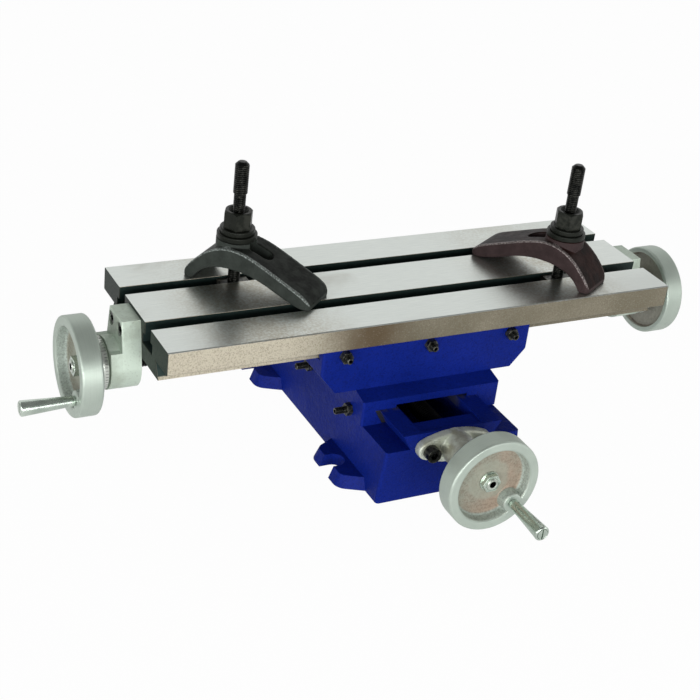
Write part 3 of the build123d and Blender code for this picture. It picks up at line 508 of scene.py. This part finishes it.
def shank(shoulders, seat, end):
    """Outline of a screw's bare end: its shoulders, the wheel's seat and a stub with a centre hole."""
    stub = end - stub_length
    return shoulders + [
        (seat, journal_radius), (seat, seat_radius), (stub, seat_radius), (stub, stub_radius),
        (end - 0.5 * mm, stub_radius), (end, stub_radius - 0.5 * mm), (end, centre_hole + 0.35 * mm),
        (end - 0.4 * mm, centre_hole), (end - centre_hole_depth, centre_hole), (end - centre_hole_depth, 0),
    ]


cross_shank = shank([
    (cross_thread_end, 0), (cross_thread_end, screw_radius), (collar_start, screw_radius),
    (collar_start, collar_radius), (collar_end, collar_radius), (collar_end, journal_radius),
], cross_seat, cross_end)
cross_bar = lathe("cross_screw_turned", cross_shank, cross_origin, frontward)
cross_rod = threaded(
    "cross_screw_thread", [tuple(cross_origin)], faces_front, -cross_thread_end, cross_thread_end,
    screw_radius, screw_pitch, screw_groove, cross_steel, hand=-1.0, tip=1.0 * mm,
)
settle(merged(cross_bar, cross_rod), cross_steel, "cross_screw")

table_shoulder = [(table_thread_end, 0), (table_thread_end, journal_radius)]
table_shank = shank(table_shoulder, table_seat, table_end)
table_bars = [
    lathe("table_screw_turned", table_shank, table_origin, rightward),
    lathe("table_screw_turned_left", table_shank, table_origin, leftward),
    threaded(
        "table_screw_thread", [tuple(table_origin)], faces_right, -table_thread_end, table_thread_end,
        screw_radius, screw_pitch, screw_groove, table_steel, tip=0.6 * mm,
    ),
]
settle(merged(*table_bars), table_steel, "table_screw")

# Dials: turned collars on the screws between bracket and wheel, cut with fifty graduations on the
# edge that faces the bracket. Bright steel with a darker groove beside the graduations.

graduation_count = 50
graduation_radius = 21.9 * mm
dial_from_seat = 11.1 * mm
dial_outline = [
    (0, 7.1), (0, 19.6), (0.5, 20.6), (1.2, 21.75), (1.6, 22), (6.2, 22), (6.4, 21.75), (7.0, 21.75),
    (7.2, 22), (10.0, 22), (10.5, 21.7), (10.8, 21), (10.8, 7.1),
]
dial_steel, place = finish("dial_steel")
tint = place.noise(45, 3).paints((0.58, 0.62, 0.56, 1), (0.74, 0.78, 0.72, 1))
surface(place, tint, 0.24 + place.noise(150, 2) * 0.10, 0.85, place.noise(600, 2), 0.04 * mm)
ink, place = finish("graduation_ink")
surface(place, place.noise(800).paints((0.01, 0.01, 0.01, 1), (0.05, 0.05, 0.05, 1)), 0.6)


def graduation_rules():
    """A ring of lines, every fifth one longer."""
    tree, given = rules_tree("graduations", ("Count",), ("Radius", "Width", "Short", "Long", "Depth"))
    dots = given["Points"].node("GeometryNodeMeshLine", {}, {"Count": given["Count"]})
    index = dots.node("GeometryNodeInputIndex")
    angle = index * (2 * math.pi) / given["Count"]
    length = given["Short"] + (index % 5 < 0.5) * (given["Long"] - given["Short"])
    spot = {
        0: given["Radius"] * angle.maths("COSINE"), 1: given["Radius"] * angle.maths("SINE"), 2: length / 2,
    }
    spot = dots.node("ShaderNodeCombineXYZ", {}, spot)
    dots = dots.node("GeometryNodeSetPosition", {}, {"Geometry": dots, "Position": spot})
    bar = dots.node("GeometryNodeMeshCube", {}, {"Size": (1.0, 1.0, 1.0)})
    turn = dots.node("ShaderNodeCombineXYZ", {}, {2: angle})
    size = dots.node("ShaderNodeCombineXYZ", {}, {0: given["Depth"], 1: given["Width"], 2: length})
    lines = {"Points": dots, "Instance": bar, "Rotation": turn, "Scale": size}
    lines = dots.node("GeometryNodeInstanceOnPoints", {}, lines)
    ring = dots.node("GeometryNodeRealizeInstances", {}, {"Geometry": lines})
    stand_on_points(tree, given, ring)
    return tree


graduations = graduation_rules()
screw_ends = (
    ("cross", cross_origin, frontward, cross_seat, faces_front),
    ("left", table_origin, leftward, table_seat, faces_left),
    ("right", table_origin, rightward, table_seat, faces_right),
)
for side, origin, out, seat, direction in screw_ends:
    near = seat - dial_from_seat
    ring = [(near + along * mm, radius * mm) for along, radius in dial_outline]
    settle(lathe(side + "_dial_turned", ring, origin, out), dial_steel, side + "_dial")
    lines = grown(side + "_dial_lines", graduations, [tuple(origin + out * (near + 1.7 * mm))], {
        "Count": graduation_count, "Radius": graduation_radius, "Width": 0.34 * mm, "Short": 2.4 * mm,
        "Long": 4.0 * mm, "Depth": 0.26 * mm, "Direction": direction, "Finish": ink,
    })
    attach(lines, body_of(side + "_dial"))

# Handwheels: dished castings with turned rims. The rim is smooth pale metal with fine turning
# lines; the web inside keeps its rough reddish skin, cleaned up in a ring about the hub.

rim_inside = 33 * mm
back_inside = 36 * mm
hub_clean = 19 * mm
turned_lines = 2600


def wheel_metal(name, origin, out, seat):
    """Turned rim, rough web and cast back of a wheel whose hub starts at seat along out."""
    line_grey = (0.27, 0.32, 0.29, 1)
    pit_brown = (0.17, 0.125, 0.09, 1)
    hub_grey = (0.36, 0.38, 0.31, 1)
    made, place = finish(name)
    x, _, z = place.parts()
    radius, along = about(place, origin, out)
    depth = along - seat
    inside = 1 - radius.step(rim_inside - 0.2 * mm, rim_inside + 0.4 * mm)
    inside = inside * depth.step(4 * mm, 6 * mm) * (1 - depth.step(16.5 * mm, 17.6 * mm))
    behind = 1 - radius.step(back_inside - 0.5 * mm, back_inside + 0.8 * mm)
    behind = behind * (1 - depth.step(3.6 * mm, 4.6 * mm))
    web = (inside + behind).maths("MINIMUM", 1.0)
    wall = inside * depth.step(8.2 * mm, 9.6 * mm)
    turned = {0: radius * turned_lines, 1: depth * turned_lines, 2: 0.0}
    rings = radius.node("ShaderNodeCombineXYZ", {}, turned)
    lines = rings.node("ShaderNodeTexNoise", {}, {"Vector": rings, "Scale": 1.0, "Detail": 3.0})
    clouds = place.noise(38, 3, 0.6)
    rim = clouds.paints((0.41, 0.48, 0.42, 1), (0.58, 0.65, 0.58, 1))
    rim = (lines.step(0.45, 0.75) * 0.3).paints(rim, line_grey)
    drift = (x - origin.x) * 9 - (z - origin.z) * 7
    rust = (place.noise(60, 4, 0.6) + drift).step(0.20, 0.90)
    skin = rust.paints((0.31, 0.32, 0.26, 1), (0.42, 0.325, 0.25, 1))
    pits = place.noise(620, 5, 0.7).step(0.44, 0.62) * 0.5
    skin = pits.paints(skin, pit_brown)
    cleaned = 1 - (radius + place.noise(90, 2) * (6 * mm)).step(hub_clean, hub_clean + 4.5 * mm)
    skin = (cleaned * 0.6).paints(skin, hub_grey)
    bare = pits.paints(clouds.paints((0.40, 0.47, 0.42, 1), (0.54, 0.61, 0.55, 1)), (0.15, 0.17, 0.15, 1))
    skin = wall.paints(skin, bare)
    grain = place.noise(330, 4, 0.65)
    rear = grain.step(0.40, 0.65).paints((0.22, 0.19, 0.15, 1), (0.10, 0.08, 0.065, 1))
    skin = behind.paints(skin, rear)
    rough = web * (0.52 + grain * 0.2) + (1 - web) * (0.38 + clouds * 0.18)
    height = web * (grain + place.noise(90, 3) * 1.2) + (1 - web) * lines * 0.12
    surface(place, web.paints(rim, skin), rough, 0.70 - web * 0.40, height, 0.55 * mm)
    return made


for side, origin, out, seat, direction in screw_ends:
    wheel = smoothed(side + "_handwheel", side + "_handwheel_cast", 0.62 * mm, 4)
    metal = wheel_metal(side + "_wheel_metal", origin, out, seat)
    settle(wheel, metal, side + "_handwheel")

# Wheel nuts and washers, crank handles and their slotted pivot screws: steel, plated with zinc
# that has gone slightly yellow and keeps a soft streaked shine.

zinc, place = finish("zinc_plate")
tint = place.noise(60, 4, 0.6).step(0.3, 0.7).paints((0.44, 0.51, 0.45, 1), (0.66, 0.74, 0.66, 1))
surface(place, tint, 0.18 + place.noise(140, 3) * 0.16, 0.92, place.noise(420, 3), 0.09 * mm)
for side in ("cross", "left", "right"):
    eased(side + "_wheel_nut", 0.35 * mm, zinc)
    eased(side + "_wheel_washer", 0.2 * mm, zinc)
for side in ("cross", "left"):
    eased(side + "_crank_handle", 0.5 * mm, zinc, 3)
    eased(side + "_handle_screw", 0.2 * mm, zinc)

# Saddle: an iron casting with a dovetail below for the base and one on top for the table.
# Painted blue like the base; its dovetails and the faces that the table slides on are milled bare,
# their iron painted dark as painted shade.

lower_way_foot = 49.2 * mm
lower_way_top = 66 * mm
lower_way_half = 59 * mm
upper_way_foot = 105.2 * mm
upper_way_half = 62.6 * mm
saddle_top = 119.4 * mm
saddle_half_length = 99.1 * mm
saddle_half_width = 83.2 * mm


def milled_faces(place, x, y, z):
    """Both ways and the top of the saddle, and the grain of their milled iron."""
    across = abs(x - cross_origin.x)
    along = abs(y - table_origin.y)
    lower = z.step(lower_way_foot, lower_way_foot + 0.2 * mm)
    lower = lower * (1 - z.step(lower_way_top, lower_way_top + 0.3 * mm))
    lower = lower * (1 - across.step(lower_way_half, lower_way_half + 0.4 * mm))
    legs = 1 - along.step(saddle_half_width, saddle_half_width + 0.4 * mm)
    upper = z.step(upper_way_foot, upper_way_foot + 0.4 * mm)
    upper = upper * (1 - along.step(upper_way_half, upper_way_half + 0.4 * mm))
    top = z.step(saddle_top, saddle_top + 0.3 * mm)
    inside = 1 - abs(x).step(saddle_half_length, saddle_half_length + 0.4 * mm)
    return (lower * legs + (upper + top) * inside).maths("MINIMUM", 1.0), place.noise(300, 3)


# Painted shade: the saddle's milled iron is a quarter as bright as the base's, for its gaps under the
# table.
saddle_paint = cast_paint("saddle_paint", milled_faces, 0.25)
eased("saddle_casting", 0.8 * mm, saddle_paint, 3)

# Gibs, gib set screws and lock nuts: ground steel strips in the dovetails, pushed by blacked hexagon
# socket screws in tapped holes, each locked by a thin nut.

ground_steel, place = finish("ground_steel")
tint = place.noise(70, 3).paints((0.10, 0.10, 0.095, 1), (0.22, 0.22, 0.20, 1))
surface(place, tint, 0.28 + place.noise(200, 3) * 0.16, 0.9, place.noise(700, 2), 0.05 * mm)
for node in ("cross_gib", "table_gib"):
    coat(frame["nodes"][node], ground_steel)


def gib_screws(way, points, direction, length):
    """The set screws of one way, with a hexagon socket each, and their lock nuts."""
    rods = threaded(
        way + "_gib_threads", points, direction, 0.0, length, 3 * mm, 1 * mm, 0.45 * mm, black_steel,
        tip=0.5 * mm, socket_radius=1.5 * mm, socket_depth=3 * mm,
    )
    settle(rods, black_steel, way + "_gib_screws")
    eased(way + "_gib_nuts", 0.4 * mm, black_steel)


low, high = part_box("table_gib_screws")
holes = [(along * mm, high.y, (low.z + high.z) / 2) for along in (-80, 0, 80)]
gib_screws("table", holes, faces_front, high.y - low.y)
low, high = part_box("cross_gib_screws")
middle = (low + high) / 2
holes = [(high.x, middle.y + along * mm, middle.z) for along in (-63, 15, 63)]
gib_screws("cross", holes, faces_left, high.x - low.x)

# Lead screw nuts: bronze blocks screwed to the saddle, the cross nut below it in the base's
# pocket and the table nut in its top channel. Only glimpsed when the slides are run out.

bronze, place = finish("nut_bronze")
tint = place.noise(60, 4).step(0.35, 0.7).paints((0.30, 0.19, 0.07, 1), (0.50, 0.33, 0.13, 1))
surface(place, tint, 0.34 + place.noise(160, 3) * 0.2, 0.9, place.noise(350, 3), 0.12 * mm)
for node in ("cross_nut", "table_nut"):
    eased(node, 0.5 * mm, bronze)
for node in ("cross_nut_screws", "table_nut_screws"):
    coat(frame["nodes"][node], black_steel)

# Table: a cast iron plate, ground bright on top, with two tee slots milled from end to end.
# Oil has dried to tan specks on its edges. Beside the clamps the top is mottled tan with their painted
# reflections, and it is painted darker toward its right front as painted shade. The slots and the
# ends are dark, and the flanks of its dovetail are painted dark under the front face as painted
# shadow, all but a strip along their foot.

plate_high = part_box("table_plate")[1]
plate_top = plate_high.z
plate_foot = plate_top - 20 * mm
plate_end = plate_high.x
slot_from_axis = 31.2 * mm
undercut_half = 11.8 * mm
clamp_place = 140 * mm
smudge_place = -58 * mm
reflection_tan = (0.40, 0.375, 0.30, 1)

table_iron, place = finish("ground_table")
x, y, z = place.parts()
up = place.node("ShaderNodeNewGeometry", {}, {}, "Normal").parts()[2]
is_top = up.step(0.15, 0.50) * z.step(plate_top - 1.5 * mm, plate_top - 0.8 * mm)

ground = place.scaled(0.035, 1, 1).noise(1500, 3, 0.6)
stains = place.noise(11, 4, 0.6, 0.6).step(0.52, 0.74)
top = ground.step(0.3, 0.75).paints((0.62, 0.66, 0.63, 1), (0.72, 0.76, 0.72, 1))
top = (stains * 0.3).paints(top, (0.40, 0.36, 0.28, 1))
# Painted reflections of the clamps: the top is mottled tan beside them, half as much towards the back.
clamp_reflection_mask = 1 - abs(abs(x + 5 * mm) - clamp_place).step(15 * mm, 85 * mm)
clamp_reflection_mask = clamp_reflection_mask * (1 - y.step(20 * mm, 30 * mm) * 0.5)
reflection_mottle = place.noise(420, 4, 0.65).step(0.36, 0.62) * 0.55 + place.noise(34, 3).step(0.35, 0.65) * 0.35
top = (clamp_reflection_mask * reflection_mottle).paints(top, reflection_tan)
# Painted shade: the top is painted darker toward its right front end.
wear_and_shade = x.step(100 * mm, 237 * mm) * (1 - y.step(-75 * mm, -30 * mm)) * 0.45
top = wear_and_shade.paints(top, (0.44, 0.46, 0.44, 1))

grain = place.noise(760, 5, 0.65)
edge = place.noise(22, 3).step(0.3, 0.7).paints((0.185, 0.167, 0.116, 1), (0.25, 0.227, 0.167, 1))
pale = (1 - x.step(-150 * mm, -40 * mm)) * 0.85
edge = pale.paints(edge, (0.63, 0.58, 0.46, 1))
smudge = 1 - (abs(x - smudge_place) + place.noise(30, 3) * (50 * mm)).step(25 * mm, 78 * mm)
edge = smudge.paints(edge, (0.115, 0.08, 0.042, 1))
edge = (grain.step(0.48, 0.62) * 0.42).paints(edge, (0.17, 0.13, 0.08, 1))
edge = ((1 - grain.step(0.34, 0.46)) * 0.12).paints(edge, (0.74, 0.70, 0.60, 1))
ends = place.noise(90, 3).paints((0.009, 0.016, 0.012, 1), (0.022, 0.034, 0.026, 1))
on_end = abs(x).step(plate_end - 0.7 * mm, plate_end - 0.2 * mm)
edge = on_end.paints(edge, ends)

from_slots = abs(abs(y - table_origin.y) - slot_from_axis)
in_slots = 1 - from_slots.step(undercut_half, undercut_half + 0.2 * mm)
in_slots = in_slots * (1 - z.step(plate_top - 0.6 * mm, plate_top - 0.3 * mm))
# Painted shadow: the dovetail's flanks under the front face take the dark iron, all but a strip along their
# foot.
flank = 1 - z.step(plate_foot - 0.2 * mm, plate_foot + 0.1 * mm)
flank = flank * z.step(plate_foot - 12.2 * mm, plate_foot - 11 * mm)
dark = (in_slots + flank).maths("MINIMUM", 1.0) * (1 - on_end)
dark_iron_and_shadow = place.noise(120, 3).paints((0.010, 0.024, 0.021, 1), (0.026, 0.050, 0.046, 1))
edge = dark.paints(edge, dark_iron_and_shadow)

rough = is_top * (0.26 + stains * 0.16 + ground * 0.08) + (1 - is_top) * (0.42 + grain * 0.2)
height = is_top * (ground * 0.10 + place.noise(240, 3) * 0.10) + (1 - is_top) * grain * 0.8
surface(place, is_top.paints(edge, top), rough, is_top * 0.42 + 0.5, height, 0.3 * mm)
eased("table_plate", 0.45 * mm, table_iron, 2)

# End brackets: aluminium castings bolted to the table's ends with two socket screws each, their
# bosses carrying the table screw's journals. A dull pale grey skin with darker blots and dark specks.

ledge_half = 19.7 * mm
ledge_height = 17 * mm
plate_round = 22.42 * mm
journal_bore = 7.15 * mm


def combined(piece, operation, other):
    """Adds another solid to a piece, cuts it away or keeps what both share, as one plain mesh."""
    joint = piece.modifiers.new("joint", "BOOLEAN")
    joint.operation = operation
    joint.object = other
    joint.solver = "EXACT"
    flatten(piece)
    bpy.data.objects.remove(other)


def ledge(name, low_x, high_x):
    """The thick lower half of an end bracket, with the plate's outline up to a ledge over the screw."""
    arc_steps = 28
    rim = [(-ledge_half, ledge_height)]
    for step in range(arc_steps + 1):
        angle = math.radians(170 + step * 200 / arc_steps)
        rim.append((plate_round * math.cos(angle), plate_round * math.sin(angle)))
    rim.append((ledge_half, ledge_height))
    shape = bmesh.new()
    ends = []
    for x in (low_x, high_x):
        ring = [(x, table_origin.y + across, table_origin.z + above) for across, above in rim]
        ends.append([shape.verts.new(point) for point in ring])
    shape.faces.new(ends[0])
    shape.faces.new(ends[1])
    for k in range(len(rim)):
        j = (k + 1) % len(rim)
        shape.faces.new((ends[0][k], ends[0][j], ends[1][j], ends[1][k]))
    bmesh.ops.recalc_face_normals(shape, faces=shape.faces)
    return meshed(name, shape)


end_aluminium = cast_aluminium("end_aluminium", (0.60, 0.70, 0.60, 1), (0.40, 0.46, 0.37, 1), 0.5)
for side in ("left", "right"):
    low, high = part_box(side + "_end_bracket")
    casting = joined(side + "_end_bracket", side + "_end_bracket_cast")
    combined(casting, "UNION", ledge(side + "_ledge", low.x, high.x))
    near = low.x - 1 * mm
    far = high.x + 1 * mm
    bore = [(near, 0), (near, journal_bore), (far, journal_bore), (far, 0)]
    combined(casting, "DIFFERENCE", lathe(side + "_bore", bore, table_origin, rightward))
    eased(side + "_end_bracket", 0.7 * mm, end_aluminium, 3, casting)
    eased(side + "_bracket_screws", 0.3 * mm, black_steel)

# Strap clamps: forged arched straps, blacked, with a slot for the stud. One is older and has gone
# dark brown. Tee nut, stud, washers and flanged nut are blacked steel. A strap's angle is in
# degrees from the length of the table.

strap_angles = {"left": -49.6, "right": 121.0}
strap_colours = {"left": "black", "right": "brown"}
stud_radius = 6 * mm
stud_pitch = 1.75 * mm
nut_flange = 13.2 * mm
nut_top = 9.9 * mm
upward = Vector((0, 0, 1))


def forged(side, tone, top, bright):
    """Forged skin, lighter on its flanks with painted shade on its upward faces, and scuffed to bright
    steel along its upper edges with a painted highlight on the near one.
    """
    made, place = finish("forged_" + strap_colours[side])
    low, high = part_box(side + "_stud")
    angle = math.radians(strap_angles[side])
    aside = {0: place, 1: (-math.sin(angle), math.cos(angle), 0)}
    aside = place.node("ShaderNodeVectorMath", {"operation": "DOT_PRODUCT"}, aside, "Value")
    middle = (high.y + low.y) / 2 * math.cos(angle) - (high.x + low.x) / 2 * math.sin(angle)
    rim = abs(aside - middle).step(16.8 * mm, 18.6 * mm)
    up = place.node("ShaderNodeTexCoord", {}, {}, "Normal").parts()[2]
    # Scuffs along both upper edges, four times as strong on the near one as a painted highlight.
    near = (aside - middle) * math.copysign(1, math.cos(angle)) < 0
    edge = rim * up.step(0.05, 0.30) * (near * 0.75 + 0.25)
    scuffs_and_highlight = edge * (place.noise(900, 4, 0.65).step(0.44, 0.60) * 0.8 + 0.2)
    # Painted shade: faces that look up take the darker top tones, the flanks the lighter one.
    flank = place.noise(70, 4, 0.65).step(0.3, 0.7).paints(tone, shaded(tone, 1.5))
    shaded_crown = place.noise(90, 4, 0.65).step(0.35, 0.65).paints(top, shaded(top, 3.0))
    colour = scuffs_and_highlight.paints(up.step(0.15, 0.45).paints(flank, shaded_crown), bright)
    rough = place.noise(110, 4, 0.6) * 0.3 + 0.3
    height = place.noise(60, 4, 0.6) * 1.2 + place.noise(300, 3) * 0.4
    surface(place, colour, rough, 0.1 + scuffs_and_highlight * 0.5, height, 0.5 * mm, 0.05)
    return made


# Each strap's flank tone, the darker tone of its upward faces as painted shade, and its scuffed edge with
# the painted highlight.
strap_finish = {
    "left": forged("left", (0.031, 0.036, 0.032, 1), (0.009, 0.0105, 0.009, 1), (0.34, 0.38, 0.36, 1)),
    "right": forged("right", (0.038, 0.026, 0.026, 1), (0.0075, 0.0032, 0.0026, 1), (0.34, 0.30, 0.29, 1)),
}
brown_steel = blacked("brown_steel", (0.0095, 0.011, 0.0085, 1), 0.28, 0.12)
for side in ("left", "right"):
    strap = smoothed(side + "_strap", side + "_strap_forged", 0.6 * mm, 14)
    settle(strap, strap_finish[side], side + "_strap")
    eased(side + "_tee_nut", 0.5 * mm, black_steel)
    low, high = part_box(side + "_stud")
    foot = Vector(((low.x + high.x) / 2, (low.y + high.y) / 2, plate_top))
    stud = threaded(
        side + "_stud_threaded", [tuple(foot)], (0.0, 0.0, 0.0), low.z - foot.z, high.z - foot.z,
        stud_radius, stud_pitch, 0.75 * mm, black_steel, step=77 * mm, tip=2.5 * mm, foot_radius=5.1 * mm,
    )
    settle(stud, black_steel, side + "_stud")
    eased(side + "_lower_washer", 0.5 * mm, brown_steel)
    eased(side + "_upper_washer", 0.5 * mm, brown_steel)
    low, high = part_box(side + "_clamp_nut")
    thickness = high.z - low.z
    blank = [
        (-1 * mm, 0), (-1 * mm, nut_flange), (thickness - 2.3 * mm, nut_flange),
        (thickness + 1 * mm, nut_top), (thickness + 1 * mm, 0),
    ]
    seat = Vector(((low.x + high.x) / 2, (low.y + high.y) / 2, low.z))
    nut = joined(side + "_clamp_nut", side + "_clamp_nut_turned")
    combined(nut, "INTERSECT", lathe(side + "_nut_blank", blank, seat, upward))
    eased(side + "_clamp_nut", 0.4 * mm, brown_steel, 2, nut)

# Studio: a pale floor and backdrop that run to white, a broad low lamp in front, a weaker one on
# each side, a dim ceiling, and the camera at the photograph's viewing angle.

floor_reach = 6


def rays(start):
    """What asks for light here: 1 for the camera, for a reflection, and for a look through glass."""
    seen = start.node("ShaderNodeLightPath", {}, {}, "Is Camera Ray")
    outs = seen.socket.node.outputs
    return seen, Wire(seen.tree, outs["Is Glossy Ray"]), Wire(seen.tree, outs["Is Transmission Ray"])


corners = [(x * floor_reach, y * floor_reach, 0) for x, y in ((-1, -1), (1, -1), (1, 1), (-1, 1))]
sheet = bpy.data.meshes.new("pale_floor")
sheet.from_pydata(corners, [], [(0, 1, 2, 3)])
floor = stood("pale_floor", sheet)
floor.location.z = -0.2 * mm
floor_white, place = finish("floor_white")
seen, mirrored, through = rays(place)
lit = place.node("ShaderNodeBsdfDiffuse", {}, {"Color": (0.86, 0.86, 0.86, 1)})
glow = place.node("ShaderNodeEmission", {}, {"Color": (1, 1, 1, 1), "Strength": 1.0})
share = (seen * 0.975 + mirrored * 0.58 + through * 0.96).maths("MINIMUM", 1.0)
both = place.node("ShaderNodeMixShader", {}, {0: share, 1: lit, 2: glow})
place.node("ShaderNodeOutputMaterial", {}, {"Surface": both})
floor.data.materials.append(floor_white)

world = bpy.data.worlds.new("studio")
bpy.context.scene.world = world
world.use_nodes = True
world.node_tree.nodes.clear()
sky = Wire(world.node_tree)
seen, mirrored, through = rays(sky)
east, north, up = sky.node("ShaderNodeTexCoord", {}, {}, "Generated").parts()
ahead = east * 0.45 + north * 0.89
backdrop = ahead.step(-0.1, 0.4) * (1 - up.step(0.60, 0.85))
strength = 0.20 + backdrop * (0.45 + mirrored * 0.33)
strength = strength + (seen + through).maths("MINIMUM", 1.0) * (1 - strength)
shell = sky.node("ShaderNodeBackground", {}, {"Color": (1, 1, 1, 1), "Strength": strength})
sky.node("ShaderNodeOutputWorld", {}, {"Surface": shell})


def lamp(name, place, wide, high, power):
    """A softbox that faces the middle of the object."""
    middle = Vector((0, -20 * mm, 80 * mm))
    light = bpy.data.lights.new(name, "AREA")
    light.shape = "RECTANGLE"
    light.size = wide
    light.size_y = high
    light.energy = power
    holder = stood(name, light)
    holder.location = place
    holder.rotation_euler = (middle - holder.location).to_track_quat("-Z", "Y").to_euler()


lamp("key_softbox", (-0.6, -1.85, 0.38), wide=2.4, high=0.7, power=29)
lamp("fill_softbox", (1.5, -1.3, 0.5), wide=0.9, high=0.9, power=5)
lamp("left_softbox", (-1.9, -0.5, 0.23), wide=1.2, high=0.42, power=10)

camera_turn = math.radians(-29.8028)
camera_rise = math.radians(28.4062)
camera_roll = math.radians(7.1330)
camera_place = (-0.588639, -0.972434, 0.672661)
sensor_width = 36
focal_length = 73.94

back = Vector((
    math.sin(camera_turn) * math.cos(camera_rise), -math.cos(camera_turn) * math.cos(camera_rise),
    math.sin(camera_rise),
))
level = (-back).cross(upward).normalized()
upright = level.cross(-back)
across = level * math.cos(camera_roll) + upright * math.sin(camera_roll)
above = upright * math.cos(camera_roll) - level * math.sin(camera_roll)
lens = bpy.data.cameras.new("photograph_camera")
lens.sensor_width = sensor_width
lens.lens = focal_length
camera = stood("photograph_camera", lens)
camera.matrix_world = Matrix((across, above, back)).transposed().to_4x4()
camera.location = camera_place
bpy.context.scene.camera = camera
bpy.context.scene.view_settings.view_transform = "Standard"
